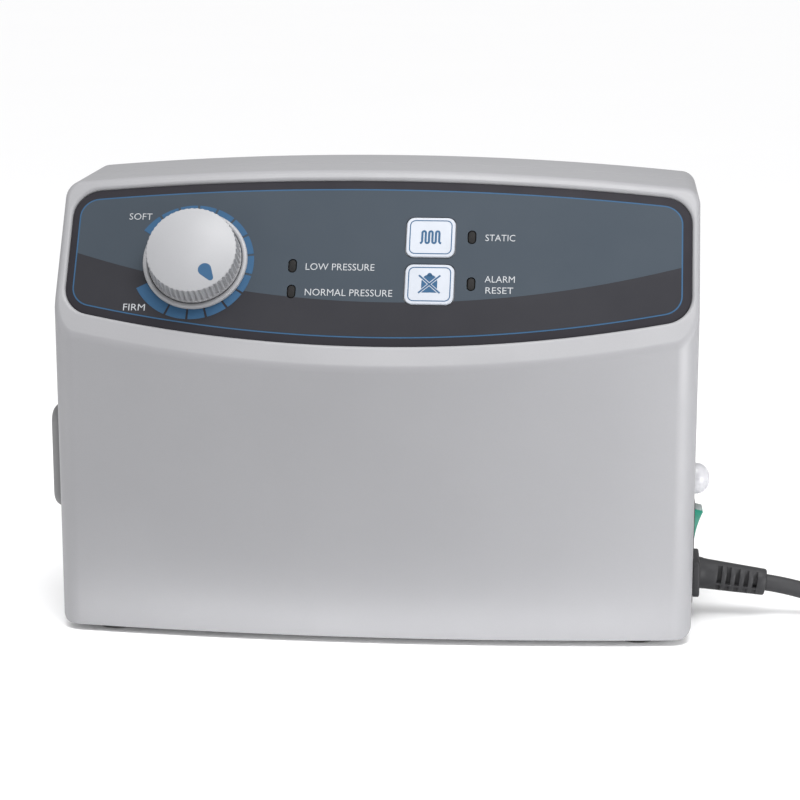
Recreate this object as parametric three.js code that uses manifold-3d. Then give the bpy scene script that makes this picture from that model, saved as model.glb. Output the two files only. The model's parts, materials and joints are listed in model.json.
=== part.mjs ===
// Air pump and control unit of a pressure relief mattress.
// Millimetres, +Z up, front towards -Y. The origin is on the floor, under the middle of the unit.
import * as THREE from 'three';
import { mergeVertices } from 'three/addons/utils/BufferGeometryUtils.js';
import Module from 'manifold-3d';

const wasm = await Module();
wasm.setup();

// Gaps
const gap = 0.3; // between pieces that rest on or in each other
const runningGap = 0.4; // between a moving piece and the opening it moves in

// Case
const caseWidth = 283;
const caseHeight = 201;
const caseDepth = 117;
const wall = 2.5;
const crownRadius = 1500; // the top is a shallow arch from side to side
const bowRadius = 1143; // the front is a shallow arc in plan
const topCorner = 7;
const baseCorner = 5;
const frontCorner = 11;
const rearBevel = 4.5;
const coverDepth = 36; // how much of the depth the rear case takes
const footHeight = 3;

// Sloped bezel and control panel
const bezelHeight = 80; // from the lower edge of the bezel to the top of the case
const bezelTilt = THREE.MathUtils.degToRad(33.1); // back from vertical
const panelRise = 51; // up the slope, from the bezel's lower edge to the panel's middle
const panelMargin = 3.5; // from the panel's ends to the case's sides
const panelHalfHeight = 39.6;
const panelCorner = 13;
const panelThickness = 0.8;
const recessDepth = 1.2; // from the bezel down to the panel's face

// Knob
const knobAt = [-80.2, -0.3]; // across and up the panel
const knobRadius = 20.8;
const knobTopRadius = 19.9;
const knobHeight = 12.5;
const knobRingRadius = 23.3;
const shaftRadius = 3;
const potBodyRadius = 9;
const potBodyDepth = 8;

// Buttons and lights
const buttonSize = [21.5, 19];
const buttonAt = { static_button: [23.7, 12.4], alarm_reset_button: [24, -10.1] };
const buttonCorner = 3;
const buttonTravel = 0.5;
const buttonProud = 0.7;
const stemSize = 6;
const tactSwitch = [6, 1.7]; // across, and above the board
const lightSize = [3.3, 6];
const lightAt = {
  low_pressure_light: [-36.8, -2],
  normal_pressure_light: [-36.6, -14.3],
  static_light: [41.8, 12.9],
  alarm_light: [42.2, -9.5],
};

// Control board, parallel to the panel
const boardDepth = 9.9; // from the panel's face to the board
const boardThickness = 1.6;
const boardSpan = [-108, 68];
const boardHalfHeight = 28;
const boardPostRadius = 3;
const boardPostInset = [5, 4];
const lampPost = [3, 5]; // under each light
const buzzer = { at: [52, 14], radius: 6, height: 7 };
const transformer = { across: [-30, -10], up: [12, 24], height: 10 };

// Right-hand side: places are [back from the front, up from the floor]
const switchAt = [40.8, 46.5];
const switchHalf = [8.2, 13.4];
const switchHole = [6.3, 11.3];
const switchWall = 0.7;
const switchDepth = 18;
const rockerHalf = [5.9, 9.9];
const rockerPivotDepth = 3.3; // inside the case's side
const rockerPin = 1.5;
const rockerRise = 6.1; // from the pivot to the ends of its face
const rockerRest = THREE.MathUtils.degToRad(12);
const portAt = [40.8, 68.6];
const portRadius = 6;
const portBodyLength = 16; // inside the wall
const portStub = 8;
const capRadius = 7;
const capPlugLength = 6;
const lumenRadius = 2.2;
const lumenOffset = 4;
const inletAt = [58.9, 19.1];
const inletHalf = [15.5, 11];
const inletBodyHalf = [14, 10];
const socketHalf = [12.2, 8.3];
const socketDepth = 18;
const flangeThickness = { switch: 0.6, inlet: 1 };
const connectorShoulder = [25, 17, 2.9];

// Left-hand side
const filterAt = [47.8, 74.7];
const filterSize = [42, 48];
const filterProud = 6.2;
const filterFoamThickness = 2.6;
const filterRim = 5;
const filterSlots = { rows: [-12, -4, 4, 12], half: [11, 1.2] };
const wallSlotHalf = [14, 1.5];

// Hanging hooks on the rear
const hookSpacing = 200;
const hookHeight = 174; // middle of the arm above the floor
const hookReach = 52;
const hookDrop = 42;
const hookArm = 12;
const hookLeg = 9; // width of the leg where it leaves the arm
const hookTip = 7; // and at its end
const hookThickness = 6.4;
const hookBarrel = 4;
const hookPinRadius = 1.6;
const hookPinOffset = 4.5; // behind the rear face
const barrelStep = 0.3; // the barrel stands past the arm above and below
const lugHeight = 4;
const lugWebHalf = 2.2;

// Feet and case screws
const footRadius = 9;
const footInset = [24, 20];
const upperScrewInset = [8, 28]; // from the side and the top of the case
const lowerScrewInset = [29.5, 8]; // from the side and the base of the case
const screwRadius = 1.6;
const screwHeadRadius = 3;
const screwHeadHeight = 2;
const bossRadius = 6.5;
const bossLength = 20; // in the front case
const screwReach = 16; // into the front case
const screwHeadDepth = 5; // below the rear face

// Air slots in the rear
const vents = { rows: 5, pitch: 9, height: 3, halfWidth: 36, middle: 61.5 };

// Compressor
const compressorAt = [-44, -8];
const damperHeight = 8;
const damperRadius = 5;
const compressorBase = [116, 74, 3];
const poleFace = 22;
const coreFlange = 4;
const coreLegHalf = 6.5;
const coreLeg = [10, 24];
const coreTop = 34;
const coilHalfWidth = 16;
const armPivotY = 30;
const armOffset = 28.5;
const armThickness = 3;
const armPinRadius = 2;
const armBarrel = 4.5;
const bellowsY = -14;
const bellowsRadius = 10;
const bellowsLength = 10;
const magnetThickness = 2.6;
const headInner = 42;
const headThickness = 12;
const headHalfWidth = 18;
const headHeight = 33;
const bellowsZ = 17; // above the base plate
const armReach = 28; // in front of the base's middle
const armHalfHeight = 9;
const nozzleTop = 40;

// Distribution valve
const valveAt = [62, -5];
const valveRadius = 20;
const valveHeight = 10;
const rotorRadius = 13;
const rotorThickness = 4.5;
const motorRadius = 24;
const motorHeight = 16;
const motorGap = 13; // between the rotor and the motor
const motorPostRadius = 2.2;
const nozzleLength = 7;
const nozzleSpread = 7; // each outlet's distance from the middle
const nozzleZ = 5;
const nozzleRadius = 2.5;
const hoseRadius = 3.5;
const hoseGap = 0.8; // between a hose's end and its nozzle

// Power lead
const cordRadius = 3.85;
const reliefLength = 30.5;
const reliefDroop = THREE.MathUtils.degToRad(7);
const reliefRadii = [6.9, 6.1];
const coilCentre = [258, 47.5];
const coilRadius = 43.1; // to the middle of its turns
const turnPitch = 8;
const turnsAcross = 3;
const turnsHigh = 2;
const plugBody = [26, 20, 36];
const plugRelief = 24;
const plugReliefRadius = 8; // where it meets the body
const earthPinRadius = 2.4;
const bladeSize = [1.5, 6.3, 17];
const bladeSpacing = 12.7;

// Derived places
const hookProud = hookPinOffset + hookBarrel;
const frontY = -(caseDepth + hookProud) / 2;
const rearY = frontY + caseDepth;
const seamY = rearY - coverDepth;
const sideX = caseWidth / 2;
const panelHalfWidth = sideX - panelMargin;
const innerX = sideX - wall;
const baseZ = footHeight;
const topZ = baseZ + caseHeight;
const floorZ = baseZ + wall + gap; // where inner pieces stand
const pinY = rearY + hookPinOffset;
const sin = Math.sin(bezelTilt);
const cos = Math.cos(bezelTilt);
const panelY = frontY + panelRise * sin + recessDepth * cos;
const panelZ = baseZ + caseHeight - bezelHeight + panelRise * cos - recessDepth * sin;
const recessFloor = -(panelThickness + gap);
const innerSlope = recessFloor - wall;
const shaftHole = shaftRadius + 2;

const finish = (color, roughness, metalness = 0) =>
  new THREE.MeshStandardMaterial({ color, roughness, metalness });
const shellGrey = finish(0xcfd1d4, 0.55);
const panelFilm = finish(0x45474b, 0.45);
const whiteKey = finish(0xe9ebee, 0.4);
const knobGrey = finish(0xcdd0d3, 0.5);
const darkLens = finish(0x232427, 0.25);
const boardGreen = finish(0x1f5c3a, 0.6);
const steel = finish(0xb4b6b8, 0.35, 1);
const copper = finish(0xa85a32, 0.4, 1);
const castGrey = finish(0x8d9094, 0.5, 0.6);
const blackPlastic = finish(0x2b2c2f, 0.55);
const blackRubber = finish(0x1d1d1f, 0.8);
const paleNylon = finish(0xe2e0d6, 0.5);
const clearTube = finish(0xdfe3e4, 0.3);
const translucentCap = finish(0xe6e8ea, 0.3);
const rockerGreen = finish(0x179377, 0.35);
const foamGrey = finish(0x55585c, 0.95);
const cordBlack = finish(0x2a2a2c, 0.6);

const unit = new THREE.Group();

function piece(name, geometry, material, group = unit) {
  const mesh = new THREE.Mesh(geometry, material);
  mesh.name = name;
  group.add(mesh);
  return mesh;
}

function subGroup(x, y, z, parent = unit) {
  const group = new THREE.Group();
  group.position.set(x, y, z);
  parent.add(group);
  return group;
}

// Joining and cutting
function solid(geometry, matrix) {
  const bare = geometry.clone();
  bare.deleteAttribute('normal');
  bare.deleteAttribute('uv');
  if (matrix) bare.applyMatrix4(matrix);
  const merged = mergeVertices(bare, 1e-4);
  const mesh = new wasm.Mesh({
    numProp: 3,
    vertProperties: new Float32Array(merged.attributes.position.array),
    triVerts: new Uint32Array(merged.index.array),
  });
  return new wasm.Manifold(mesh);
}

function surface(body) {
  const mesh = body.getMesh();
  const geometry = new THREE.BufferGeometry();
  geometry.setAttribute('position', new THREE.BufferAttribute(mesh.vertProperties, 3));
  geometry.setIndex(new THREE.BufferAttribute(mesh.triVerts, 1));
  return geometry;
}

const joined = (...parts) => surface(parts.reduce((sum, part) => sum.add(part)));

function cutFrom(body, cutters) {
  return cutters.reduce((rest, cutter) => rest.subtract(cutter), body);
}

// Simple bodies
function block(x0, x1, y0, y1, z0, z1) {
  const geometry = new THREE.BoxGeometry(x1 - x0, y1 - y0, z1 - z0);
  return geometry.translate((x0 + x1) / 2, (y0 + y1) / 2, (z0 + z1) / 2);
}

const centredBlock = (x, y, z, halfY, halfZ, halfX) =>
  block(x - halfX, x + halfX, y - halfY, y + halfY, z - halfZ, z + halfZ);

const turnAlong = {
  x: new THREE.Matrix4().makeRotationZ(-Math.PI / 2),
  y: new THREE.Matrix4(),
  z: new THREE.Matrix4().makeRotationX(Math.PI / 2),
};

// A rod along one axis, from one station to another, through the other two coordinates.
function rod(axis, radius, from, to, at, sides = 20) {
  const geometry = new THREE.CylinderGeometry(radius, radius, to - from, sides);
  geometry.applyMatrix4(turnAlong[axis]);
  const middle = (from + to) / 2;
  if (axis === 'x') return geometry.translate(middle, at[0], at[1]);
  if (axis === 'y') return geometry.translate(at[0], middle, at[1]);
  return geometry.translate(at[0], at[1], middle);
}

// A body turned about an axis. Profile points are [radius, station], up the outside and
// down the inside, starting and ending on the axis or closing on themselves.
function turned(axis, profile, sides = 32) {
  const points = profile.map(([radius, station]) => new THREE.Vector2(radius, station));
  return new THREE.LatheGeometry(points, sides).applyMatrix4(turnAlong[axis]);
}

// A shape pushed along an axis. Its own axes become y and z for x, x and z for y, x and y for z.
function pushed(axis, shape, from, to, options = {}) {
  const settings = { depth: to - from, bevelEnabled: false, ...options };
  const geometry = new THREE.ExtrudeGeometry(shape, settings);
  if (axis === 'z') return geometry.translate(0, 0, from);
  if (axis === 'y') return geometry.rotateX(Math.PI / 2).translate(0, to, 0);
  const across = new THREE.Matrix4().makeBasis(
    new THREE.Vector3(0, 1, 0),
    new THREE.Vector3(0, 0, 1),
    new THREE.Vector3(1, 0, 0),
  );
  return geometry.applyMatrix4(across).translate(from, 0, 0);
}

// Outlines
// The corner between an upright side and an upper edge that is straight or bowed outwards.
function cornerOf(half, edge, bow, radius) {
  if (bow === Infinity) return { y: edge - radius, angle: Math.PI / 2 };
  const x = half - radius;
  return {
    y: edge - bow + Math.sqrt((bow - radius) ** 2 - x ** 2),
    angle: Math.acos(x / (bow - radius)),
  };
}

// A closed outline from arcs, each [centre x, centre y, radius, start angle, end angle].
function arcs(list, steps) {
  const points = [];
  for (const [x, y, radius, start, end] of list) {
    for (let step = 0; step <= steps; step++) {
      const angle = start + ((end - start) * step) / steps;
      const point = new THREE.Vector2(x + radius * Math.cos(angle), y + radius * Math.sin(angle));
      const last = points[points.length - 1];
      if (!last || last.distanceTo(point) > 0.01) points.push(point);
    }
  }
  if (points[0].distanceTo(points[points.length - 1]) < 0.01) points.pop();
  return new THREE.Shape(points);
}

function bowedOutline({ half, top, bottom, topBow, bottomBow, topRadius, bottomRadius }) {
  const upper = cornerOf(half, top, topBow, topRadius);
  const lower = cornerOf(half, -bottom, bottomBow, bottomRadius);
  const list = [[half - topRadius, upper.y, topRadius, 0, upper.angle]];
  if (topBow !== Infinity) list.push([0, top - topBow, topBow, upper.angle, Math.PI - upper.angle]);
  list.push([topRadius - half, upper.y, topRadius, Math.PI - upper.angle, Math.PI]);
  const start = Math.PI + lower.angle;
  list.push([bottomRadius - half, -lower.y, bottomRadius, Math.PI, start]);
  if (bottomBow !== Infinity) {
    list.push([0, bottom + bottomBow, bottomBow, start, 3 * Math.PI - start]);
  }
  list.push([half - bottomRadius, -lower.y, bottomRadius, -lower.angle, 0]);
  return arcs(list, 6);
}

function roundedRectangle(width, height, radius, x = 0, y = 0) {
  const quarter = Math.PI / 2;
  const corners = [[1, 1], [-1, 1], [-1, -1], [1, -1]];
  return arcs(corners.map(([right, up], index) => [
    x + right * (width / 2 - radius), y + up * (height / 2 - radius), radius,
    index * quarter, (index + 1) * quarter,
  ]), 4);
}

const panelOutline = (margin) =>
  bowedOutline({
    half: panelHalfWidth + margin,
    top: panelHalfHeight + margin,
    bottom: -(panelHalfHeight + margin),
    topBow: crownRadius * cos,
    bottomBow: bowRadius * sin,
    topRadius: panelCorner,
    bottomRadius: panelCorner,
  });

// Everything on the sloped panel is placed across, up the slope and out from its face.
const panel = subGroup(0, panelY, panelZ);
panel.rotation.x = Math.PI / 2 - bezelTilt;
panel.updateMatrixWorld(true);
const onPanel = (geometry) => solid(geometry, panel.matrixWorld);

// Case
const farOut = 400;

function caseBody(inset, bevel, slopeLevel) {
  const outline = bowedOutline({
    half: sideX - inset,
    top: topZ - inset,
    bottom: baseZ + inset,
    topBow: crownRadius,
    bottomBow: Infinity,
    topRadius: topCorner - inset,
    bottomRadius: baseCorner - inset,
  });
  const plan = bowedOutline({
    half: sideX - inset,
    top: rearY + farOut,
    bottom: frontY + inset,
    topBow: Infinity,
    bottomBow: bowRadius,
    topRadius: 1,
    bottomRadius: frontCorner - inset,
  });
  const rear = rearY - inset;
  const front = frontY - rearBevel * 2;
  const bevelled = { bevelEnabled: true, bevelThickness: bevel, bevelSize: bevel, bevelOffset: -bevel };
  const length = bevel
    ? pushed('y', outline, front + bevel, rear - bevel, { ...bevelled, bevelSegments: 3 })
    : pushed('y', outline, front, rear);
  const upright = pushed('z', plan, 0, topZ + farOut);
  const overSlope = block(-farOut, farOut, -farOut, farOut, slopeLevel, slopeLevel + farOut);
  return solid(length).intersect(solid(upright)).subtract(onPanel(overSlope));
}

const atFront = ([back, up]) => [frontY + back, up];
const [switchY, switchZ] = atFront(switchAt);
const [portY, portZ] = atFront(portAt);
const [inletY, inletZ] = atFront(inletAt);
const [filterY, filterZ] = atFront(filterAt);
const screwPlaces = [-1, 1].flatMap((side) => [
  [side * (sideX - lowerScrewInset[0]), baseZ + lowerScrewInset[1]],
  [side * (sideX - upperScrewInset[0]), topZ - upperScrewInset[1]],
]);
const screwTip = seamY - screwReach;
const screwSeat = rearY - screwHeadDepth;

// Posts that the control board stands on.
const boardPosts = [boardSpan[0] + boardPostInset[0], boardSpan[1] - boardPostInset[0]].flatMap((across) =>
  [-1, 1].map((side) => [across, side * (boardHalfHeight - boardPostInset[1])]),
);

function frontCase() {
  const outer = caseBody(0, rearBevel, recessDepth);
  const inner = caseBody(wall, 0, innerSlope);
  const before = block(-farOut, farOut, -farOut, seamY, -farOut, farOut);
  let body = outer.subtract(inner).intersect(solid(before));
  for (const [x, z] of screwPlaces) {
    body = body.add(solid(rod('y', bossRadius, seamY - bossLength, seamY, [x, z], 16)).intersect(outer));
  }
  for (const [u, v] of boardPosts) {
    body = body.add(onPanel(rod('z', boardPostRadius, gap - boardDepth, recessFloor - 0.5, [u, v], 12)));
  }
  const panelCuts = [
    pushed('z', panelOutline(gap), recessFloor, farOut),
    rod('z', shaftHole, -boardDepth, 1, knobAt),
    ...Object.values(buttonAt).map(([u, v]) => {
      const half = stemSize / 2 + runningGap + 0.5;
      return block(u - half, u + half, v - half, v + half, -boardDepth + 1, 1);
    }),
    ...Object.values(lightAt).map(([u, v]) => {
      const [width, height] = lightSize.map((size) => size + 2 * gap);
      return pushed('z', roundedRectangle(width, height, width / 2 - 0.01, u, v), -6, 1);
    }),
  ];
  const through = [innerX - 2, sideX + 2];
  const [switchHalfY, switchHalfZ] = switchHole.map((half) => half + switchWall + gap);
  const sideCuts = [
    block(...through, switchY - switchHalfY, switchY + switchHalfY,
      switchZ - switchHalfZ, switchZ + switchHalfZ),
    block(...through, inletY - inletBodyHalf[0] - gap, inletY + inletBodyHalf[0] + gap,
      inletZ - inletBodyHalf[1] - gap, inletZ + inletBodyHalf[1] + gap),
    rod('x', portRadius + gap, ...through, [portY, portZ]),
    ...screwPlaces.map(([x, z]) => rod('y', screwRadius + gap, screwTip - 1, seamY + 1, [x, z], 12)),
    ...filterSlots.rows.map((up) => centredBlock(-sideX, filterY, filterZ + up, ...wallSlotHalf, 6)),
  ];
  const cutters = [...panelCuts.map(onPanel), ...sideCuts.map((cut) => solid(cut))];
  return surface(cutFrom(body, cutters));
}

function lug(side, z) {
  const x = (side * hookSpacing) / 2;
  const round = solid(rod('z', hookBarrel, z, z + lugHeight, [x, pinY], 16));
  const web = solid(block(x - lugWebHalf, x + lugWebHalf, rearY - 1, pinY, z, z + lugHeight));
  return round.add(web);
}

const barrelHalf = hookArm / 2 + barrelStep;
const lugLevels = [
  hookHeight - barrelHalf - runningGap - lugHeight,
  hookHeight + barrelHalf + runningGap,
];

function rearCase() {
  const outer = caseBody(0, rearBevel, recessDepth);
  const inner = caseBody(wall, 0, innerSlope);
  const behind = block(-farOut, farOut, seamY + gap, farOut, -farOut, farOut);
  let body = outer.subtract(inner).intersect(solid(behind));
  for (const [x, z] of screwPlaces) {
    const boss = solid(rod('y', bossRadius, seamY + gap, rearY, [x, z], 16));
    body = body.add(boss.intersect(outer));
  }
  for (const side of [-1, 1]) {
    for (const z of lugLevels) body = body.add(lug(side, z));
  }
  const slots = Array.from({ length: vents.rows }, (_, row) => {
    const middle = vents.middle + (row - (vents.rows - 1) / 2) * vents.pitch;
    return block(-vents.halfWidth, vents.halfWidth, rearY - wall - 1, rearY + 1,
      middle - vents.height / 2, middle + vents.height / 2);
  });
  const cuts = [
    ...slots,
    ...screwPlaces.map(([x, z]) => rod('y', screwRadius + gap, seamY, rearY, [x, z], 12)),
    ...screwPlaces.map(([x, z]) =>
      rod('y', screwHeadRadius + gap, screwSeat, rearY + 1, [x, z], 16),
    ),
    ...[-1, 1].map((side) => {
      const at = [(side * hookSpacing) / 2, pinY];
      return rod('z', hookPinRadius + gap, lugLevels[0] - 1, lugLevels[1] + lugHeight + 1, at, 12);
    }),
  ];
  return surface(cutFrom(body, cuts.map((cut) => solid(cut))));
}

function caseScrew([x, z]) {
  const shank = solid(rod('y', screwRadius, screwTip, screwSeat + gap + 0.5, [x, z], 8));
  const seat = screwSeat + gap;
  const head = solid(rod('y', screwHeadRadius, seat, seat + screwHeadHeight, [x, z], 12));
  return joined(shank, head);
}

piece('front_case', frontCase(), shellGrey);
piece('rear_case', rearCase(), shellGrey);
screwPlaces.forEach((place, index) => {
  piece(`case_screw_${index + 1}`, caseScrew(place), steel);
});

for (const side of [-1, 1]) {
  for (const y of [frontY + footInset[1], rearY - footInset[1]]) {
    const name = `foot_${y < 0 ? 'front' : 'rear'}_${side < 0 ? 'left' : 'right'}`;
    const profile = [[0, 0], [footRadius - 1, 0], [footRadius, 1], [footRadius, footHeight - gap],
      [0, footHeight - gap]];
    const foot = turned('z', profile, 20).translate(side * (sideX - footInset[0]), y, 0);
    piece(name, foot, blackRubber);
  }
}

// Control panel
function controlPanel() {
  const film = solid(pushed('z', panelOutline(0), -panelThickness, 0));
  const cuts = [
    rod('z', shaftHole, -2, 2, knobAt),
    ...Object.values(buttonAt).map(([u, v]) => {
      const [width, height] = buttonSize.map((size) => size + 2 * runningGap);
      return pushed('z', roundedRectangle(width, height, buttonCorner + runningGap, u, v), -2, 2);
    }),
    ...Object.values(lightAt).map(([u, v]) => {
      const [width, height] = lightSize.map((size) => size + 2 * gap);
      return pushed('z', roundedRectangle(width, height, width / 2 - 0.01, u, v), -2, 2);
    }),
  ];
  return surface(cutFrom(film, cuts.map((cut) => solid(cut))));
}

piece('control_panel', controlPanel(), panelFilm, panel);

for (const [name, [u, v]] of Object.entries(buttonAt)) {
  const cap = pushed('z', roundedRectangle(...buttonSize, buttonCorner, u, v), -0.3, buttonProud);
  const half = stemSize / 2;
  const stemEnd = tactSwitch[1] + buttonTravel + gap - boardDepth;
  const stem = block(u - half, u + half, v - half, v + half, stemEnd, 0);
  piece(name, joined(solid(cap), solid(stem)), whiteKey, panel);
}

const lensBack = -6;
for (const [name, [u, v]] of Object.entries(lightAt)) {
  const lens = pushed('z', roundedRectangle(...lightSize, lightSize[0] / 2 - 0.01, u, v), lensBack, 0.05);
  piece(name, lens, darkLens, panel);
}

const knobGroup = subGroup(...knobAt, 0, panel);
const knobBase = 0.8;
const shaftEnd = knobHeight - 3.2;
piece('pressure_knob', turned('z', [
  [0, shaftEnd + gap], [shaftRadius + gap, shaftEnd + gap], [shaftRadius + gap, knobBase],
  [knobRadius, knobBase],
  [knobRadius, 2.4], [knobTopRadius + 0.4, knobHeight - 1], [knobTopRadius - 0.6, knobHeight],
  [0, knobHeight],
], 40), knobGrey, knobGroup);
piece('knob_ring', turned('z', [
  [knobRadius + runningGap, gap], [knobRingRadius, gap], [knobRingRadius, 1.4],
  [knobRingRadius - 0.7, 2.1], [knobRadius + runningGap, 2.1], [knobRadius + runningGap, gap],
], 40), knobGrey, knobGroup);
const potFront = -(boardDepth + boardThickness + gap);
const potBack = potFront - potBodyDepth;
const shaftStart = potFront - potBodyDepth / 2;
piece('knob_shaft', rod('z', shaftRadius, shaftStart, shaftEnd, [0, 0]), steel, knobGroup);
piece('potentiometer', turned('z', [
  [0, potBack], [potBodyRadius, potBack], [potBodyRadius, potFront],
  [shaftRadius + gap, potFront], [shaftRadius + gap, shaftStart - 1], [0, shaftStart - 1],
], 24), steel, knobGroup);

function controlBoard() {
  const back = -(boardDepth + boardThickness);
  const root = -boardDepth - 0.5; // parts on the board start inside it
  let board = solid(block(...boardSpan, -boardHalfHeight, boardHalfHeight, back, -boardDepth));
  for (const [u, v] of Object.values(buttonAt)) {
    const [across, rise] = tactSwitch;
    const half = across / 2;
    board = board.add(solid(block(u - half, u + half, v - half, v + half, root, rise - boardDepth)));
  }
  for (const [u, v] of Object.values(lightAt)) {
    const [halfU, halfV] = lampPost.map((size) => size / 2);
    const top = lensBack - gap - 0.1;
    board = board.add(solid(block(u - halfU, u + halfU, v - halfV, v + halfV, root, top)));
  }
  board = board.add(solid(rod('z', buzzer.radius, back - buzzer.height, back + 0.5, buzzer.at, 16)));
  const { across, up, height } = transformer;
  board = board.add(solid(block(...across, ...up, back - height, back + 0.5)));
  board = board.subtract(solid(rod('z', shaftRadius + 1, back - 1, 1 - boardDepth, knobAt)));
  return surface(board);
}

piece('control_board', controlBoard(), boardGreen, panel);

// Right-hand side: switch, outlet and inlet
const proud = sideX + gap;

function switchFrame() {
  const [halfY, halfZ] = switchHole;
  const half = flangeThickness.switch / 2;
  const flange = solid(centredBlock(proud + half, switchY, switchZ, ...switchHalf, half));
  const box = solid(block(sideX - switchDepth, proud + 0.5, switchY - halfY - switchWall,
    switchY + halfY + switchWall, switchZ - halfZ - switchWall, switchZ + halfZ + switchWall));
  const hollow = solid(block(sideX - switchDepth + 4.5, sideX + 5, switchY - halfY, switchY + halfY,
    switchZ - halfZ, switchZ + halfZ));
  const pivotAt = [sideX - rockerPivotDepth, switchZ];
  const pivotHole = rod('y', rockerPin + gap, switchY - 12, switchY + 12, pivotAt, 12);
  return surface(flange.add(box).subtract(hollow).subtract(solid(pivotHole)));
}

piece('switch_frame', switchFrame(), blackPlastic);

// The rocker is drawn level about its pivot, then set with its upper end out.
const rockerGroup = subGroup(sideX - rockerPivotDepth, switchY, switchZ);
rockerGroup.rotation.y = rockerRest;
const rockerShape = new THREE.Shape();
rockerShape.moveTo(-8, -4);
rockerShape.lineTo(-3, -8);
rockerShape.lineTo(-0.5, -rockerHalf[1]);
rockerShape.lineTo(rockerRise, -rockerHalf[1]);
rockerShape.quadraticCurveTo(1.9, 0, rockerRise, rockerHalf[1]);
rockerShape.lineTo(-0.5, rockerHalf[1]);
rockerShape.lineTo(-3, 8);
rockerShape.lineTo(-8, 4);
const rockerBar = pushed('y', rockerShape, -rockerHalf[0], rockerHalf[0], { curveSegments: 8 });
const rockerPins = rod('y', rockerPin, -rockerHalf[0] - 0.8, rockerHalf[0] + 0.8, [0, 0], 12);
piece('power_rocker', joined(solid(rockerBar), solid(rockerPins)), rockerGreen, rockerGroup);

const portGroup = subGroup(0, portY, portZ);
const portInnerEnd = innerX - gap - portBodyLength - portStub;

function outletPort() {
  const shoulder = innerX - gap;
  const body = solid(turned('x', [
    [0, shoulder - portBodyLength], [portRadius + 3, shoulder - portBodyLength],
    [portRadius + 3, shoulder],
    [portRadius, shoulder], [portRadius, proud], [0, proud],
  ], 24));
  const stubs = [-1, 1].map((side) =>
    solid(rod('x', nozzleRadius, portInnerEnd, shoulder - portBodyLength + 1,
      [side * lumenOffset, 0], 12)),
  );
  const lumens = [-1, 1].map((side) =>
    solid(rod('x', lumenRadius, sideX - 8, sideX + 2, [side * lumenOffset, 0], 12)),
  );
  return surface(cutFrom(body.add(stubs[0]).add(stubs[1]), lumens));
}

function portCap() {
  const base = proud + gap;
  const dome = [[0, base], [capRadius, base]];
  for (let step = 1; step <= 6; step++) {
    const angle = (step / 6) * (Math.PI / 2);
    dome.push([step < 6 ? capRadius * Math.cos(angle) : 0, base + (capRadius - 0.2) * Math.sin(angle)]);
  }
  const plugs = [-1, 1].map((side) =>
    solid(rod('x', lumenRadius - gap, sideX - capPlugLength, base + 1, [side * lumenOffset, 0], 12)),
  );
  return joined(solid(turned('x', dome, 24)), ...plugs);
}

piece('outlet_port', outletPort(), paleNylon, portGroup);
piece('port_cap', portCap(), translucentCap, portGroup);

function mainsInlet() {
  const half = flangeThickness.inlet / 2;
  const flange = solid(centredBlock(proud + half, inletY, inletZ, ...inletHalf, half));
  const bodyFrom = sideX - socketDepth - 2.5;
  const body = solid(block(bodyFrom, proud + 0.5, inletY - inletBodyHalf[0], inletY + inletBodyHalf[0],
    inletZ - inletBodyHalf[1], inletZ + inletBodyHalf[1]));
  const socket = solid(block(sideX - socketDepth, sideX + 5, inletY - socketHalf[0],
    inletY + socketHalf[0], inletZ - socketHalf[1], inletZ + socketHalf[1]));
  return surface(flange.add(body).subtract(socket));
}

piece('mains_inlet', mainsInlet(), blackPlastic);

// Left-hand side: air filter
function filterCover() {
  const [depth, height] = filterSize;
  const bevel = 4;
  const shape = roundedRectangle(depth, height, 8, filterY, filterZ);
  const whole = solid(pushed('x', shape, -sideX - filterProud + bevel, -sideX + bevel, {
    bevelEnabled: true, bevelThickness: bevel, bevelSize: bevel, bevelOffset: -bevel, bevelSegments: 3,
  }));
  const outside = solid(block(-farOut, -proud, -farOut, farOut, -farOut, farOut));
  const pocket = solid(centredBlock(-proud, filterY, filterZ, depth / 2 - filterRim,
    height / 2 - filterRim, filterFoamThickness + gap));
  const slots = filterSlots.rows.map((up) =>
    solid(centredBlock(-sideX - 5, filterY, filterZ + up, ...filterSlots.half, 4)),
  );
  return surface(cutFrom(whole.intersect(outside), [pocket, ...slots]));
}

piece('filter_cover', filterCover(), shellGrey);
const foamHalf = filterSize.map((size) => size / 2 - filterRim - runningGap);
piece('filter_foam', centredBlock(-proud - filterFoamThickness / 2, filterY, filterZ, ...foamHalf,
  filterFoamThickness / 2), foamGrey);

// Hanging hooks, folded against the rear with their tips down
function hook(side) {
  const inner = hookArm / 2;
  const shape = new THREE.Shape();
  shape.moveTo(0, -inner);
  shape.lineTo(-side * (hookReach - 1 - hookLeg), -inner);
  shape.lineTo(-side * (hookReach - 1 - hookTip), -hookDrop);
  shape.lineTo(-side * (hookReach - 1), -hookDrop);
  shape.lineTo(-side * hookReach, inner - 6);
  shape.lineTo(-side * (hookReach - 6), inner);
  shape.lineTo(0, inner);
  const blade = solid(pushed('y', shape, -hookThickness / 2, hookThickness / 2));
  const barrel = solid(rod('z', hookBarrel, -barrelHalf, barrelHalf, [0, 0], 16));
  const bore = solid(rod('z', hookPinRadius + gap, -barrelHalf - 1, barrelHalf + 1, [0, 0], 12));
  return surface(blade.add(barrel).subtract(bore));
}

for (const [name, side] of [['left', -1], ['right', 1]]) {
  const at = subGroup((side * hookSpacing) / 2, pinY, hookHeight);
  piece(`hook_${name}`, hook(side), shellGrey, at);
  const pin = rod('z', hookPinRadius, lugLevels[0] - hookHeight, lugLevels[1] + lugHeight - hookHeight,
    [0, 0], 10);
  piece(`hook_pin_${name}`, pin, steel, at);
}

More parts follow.
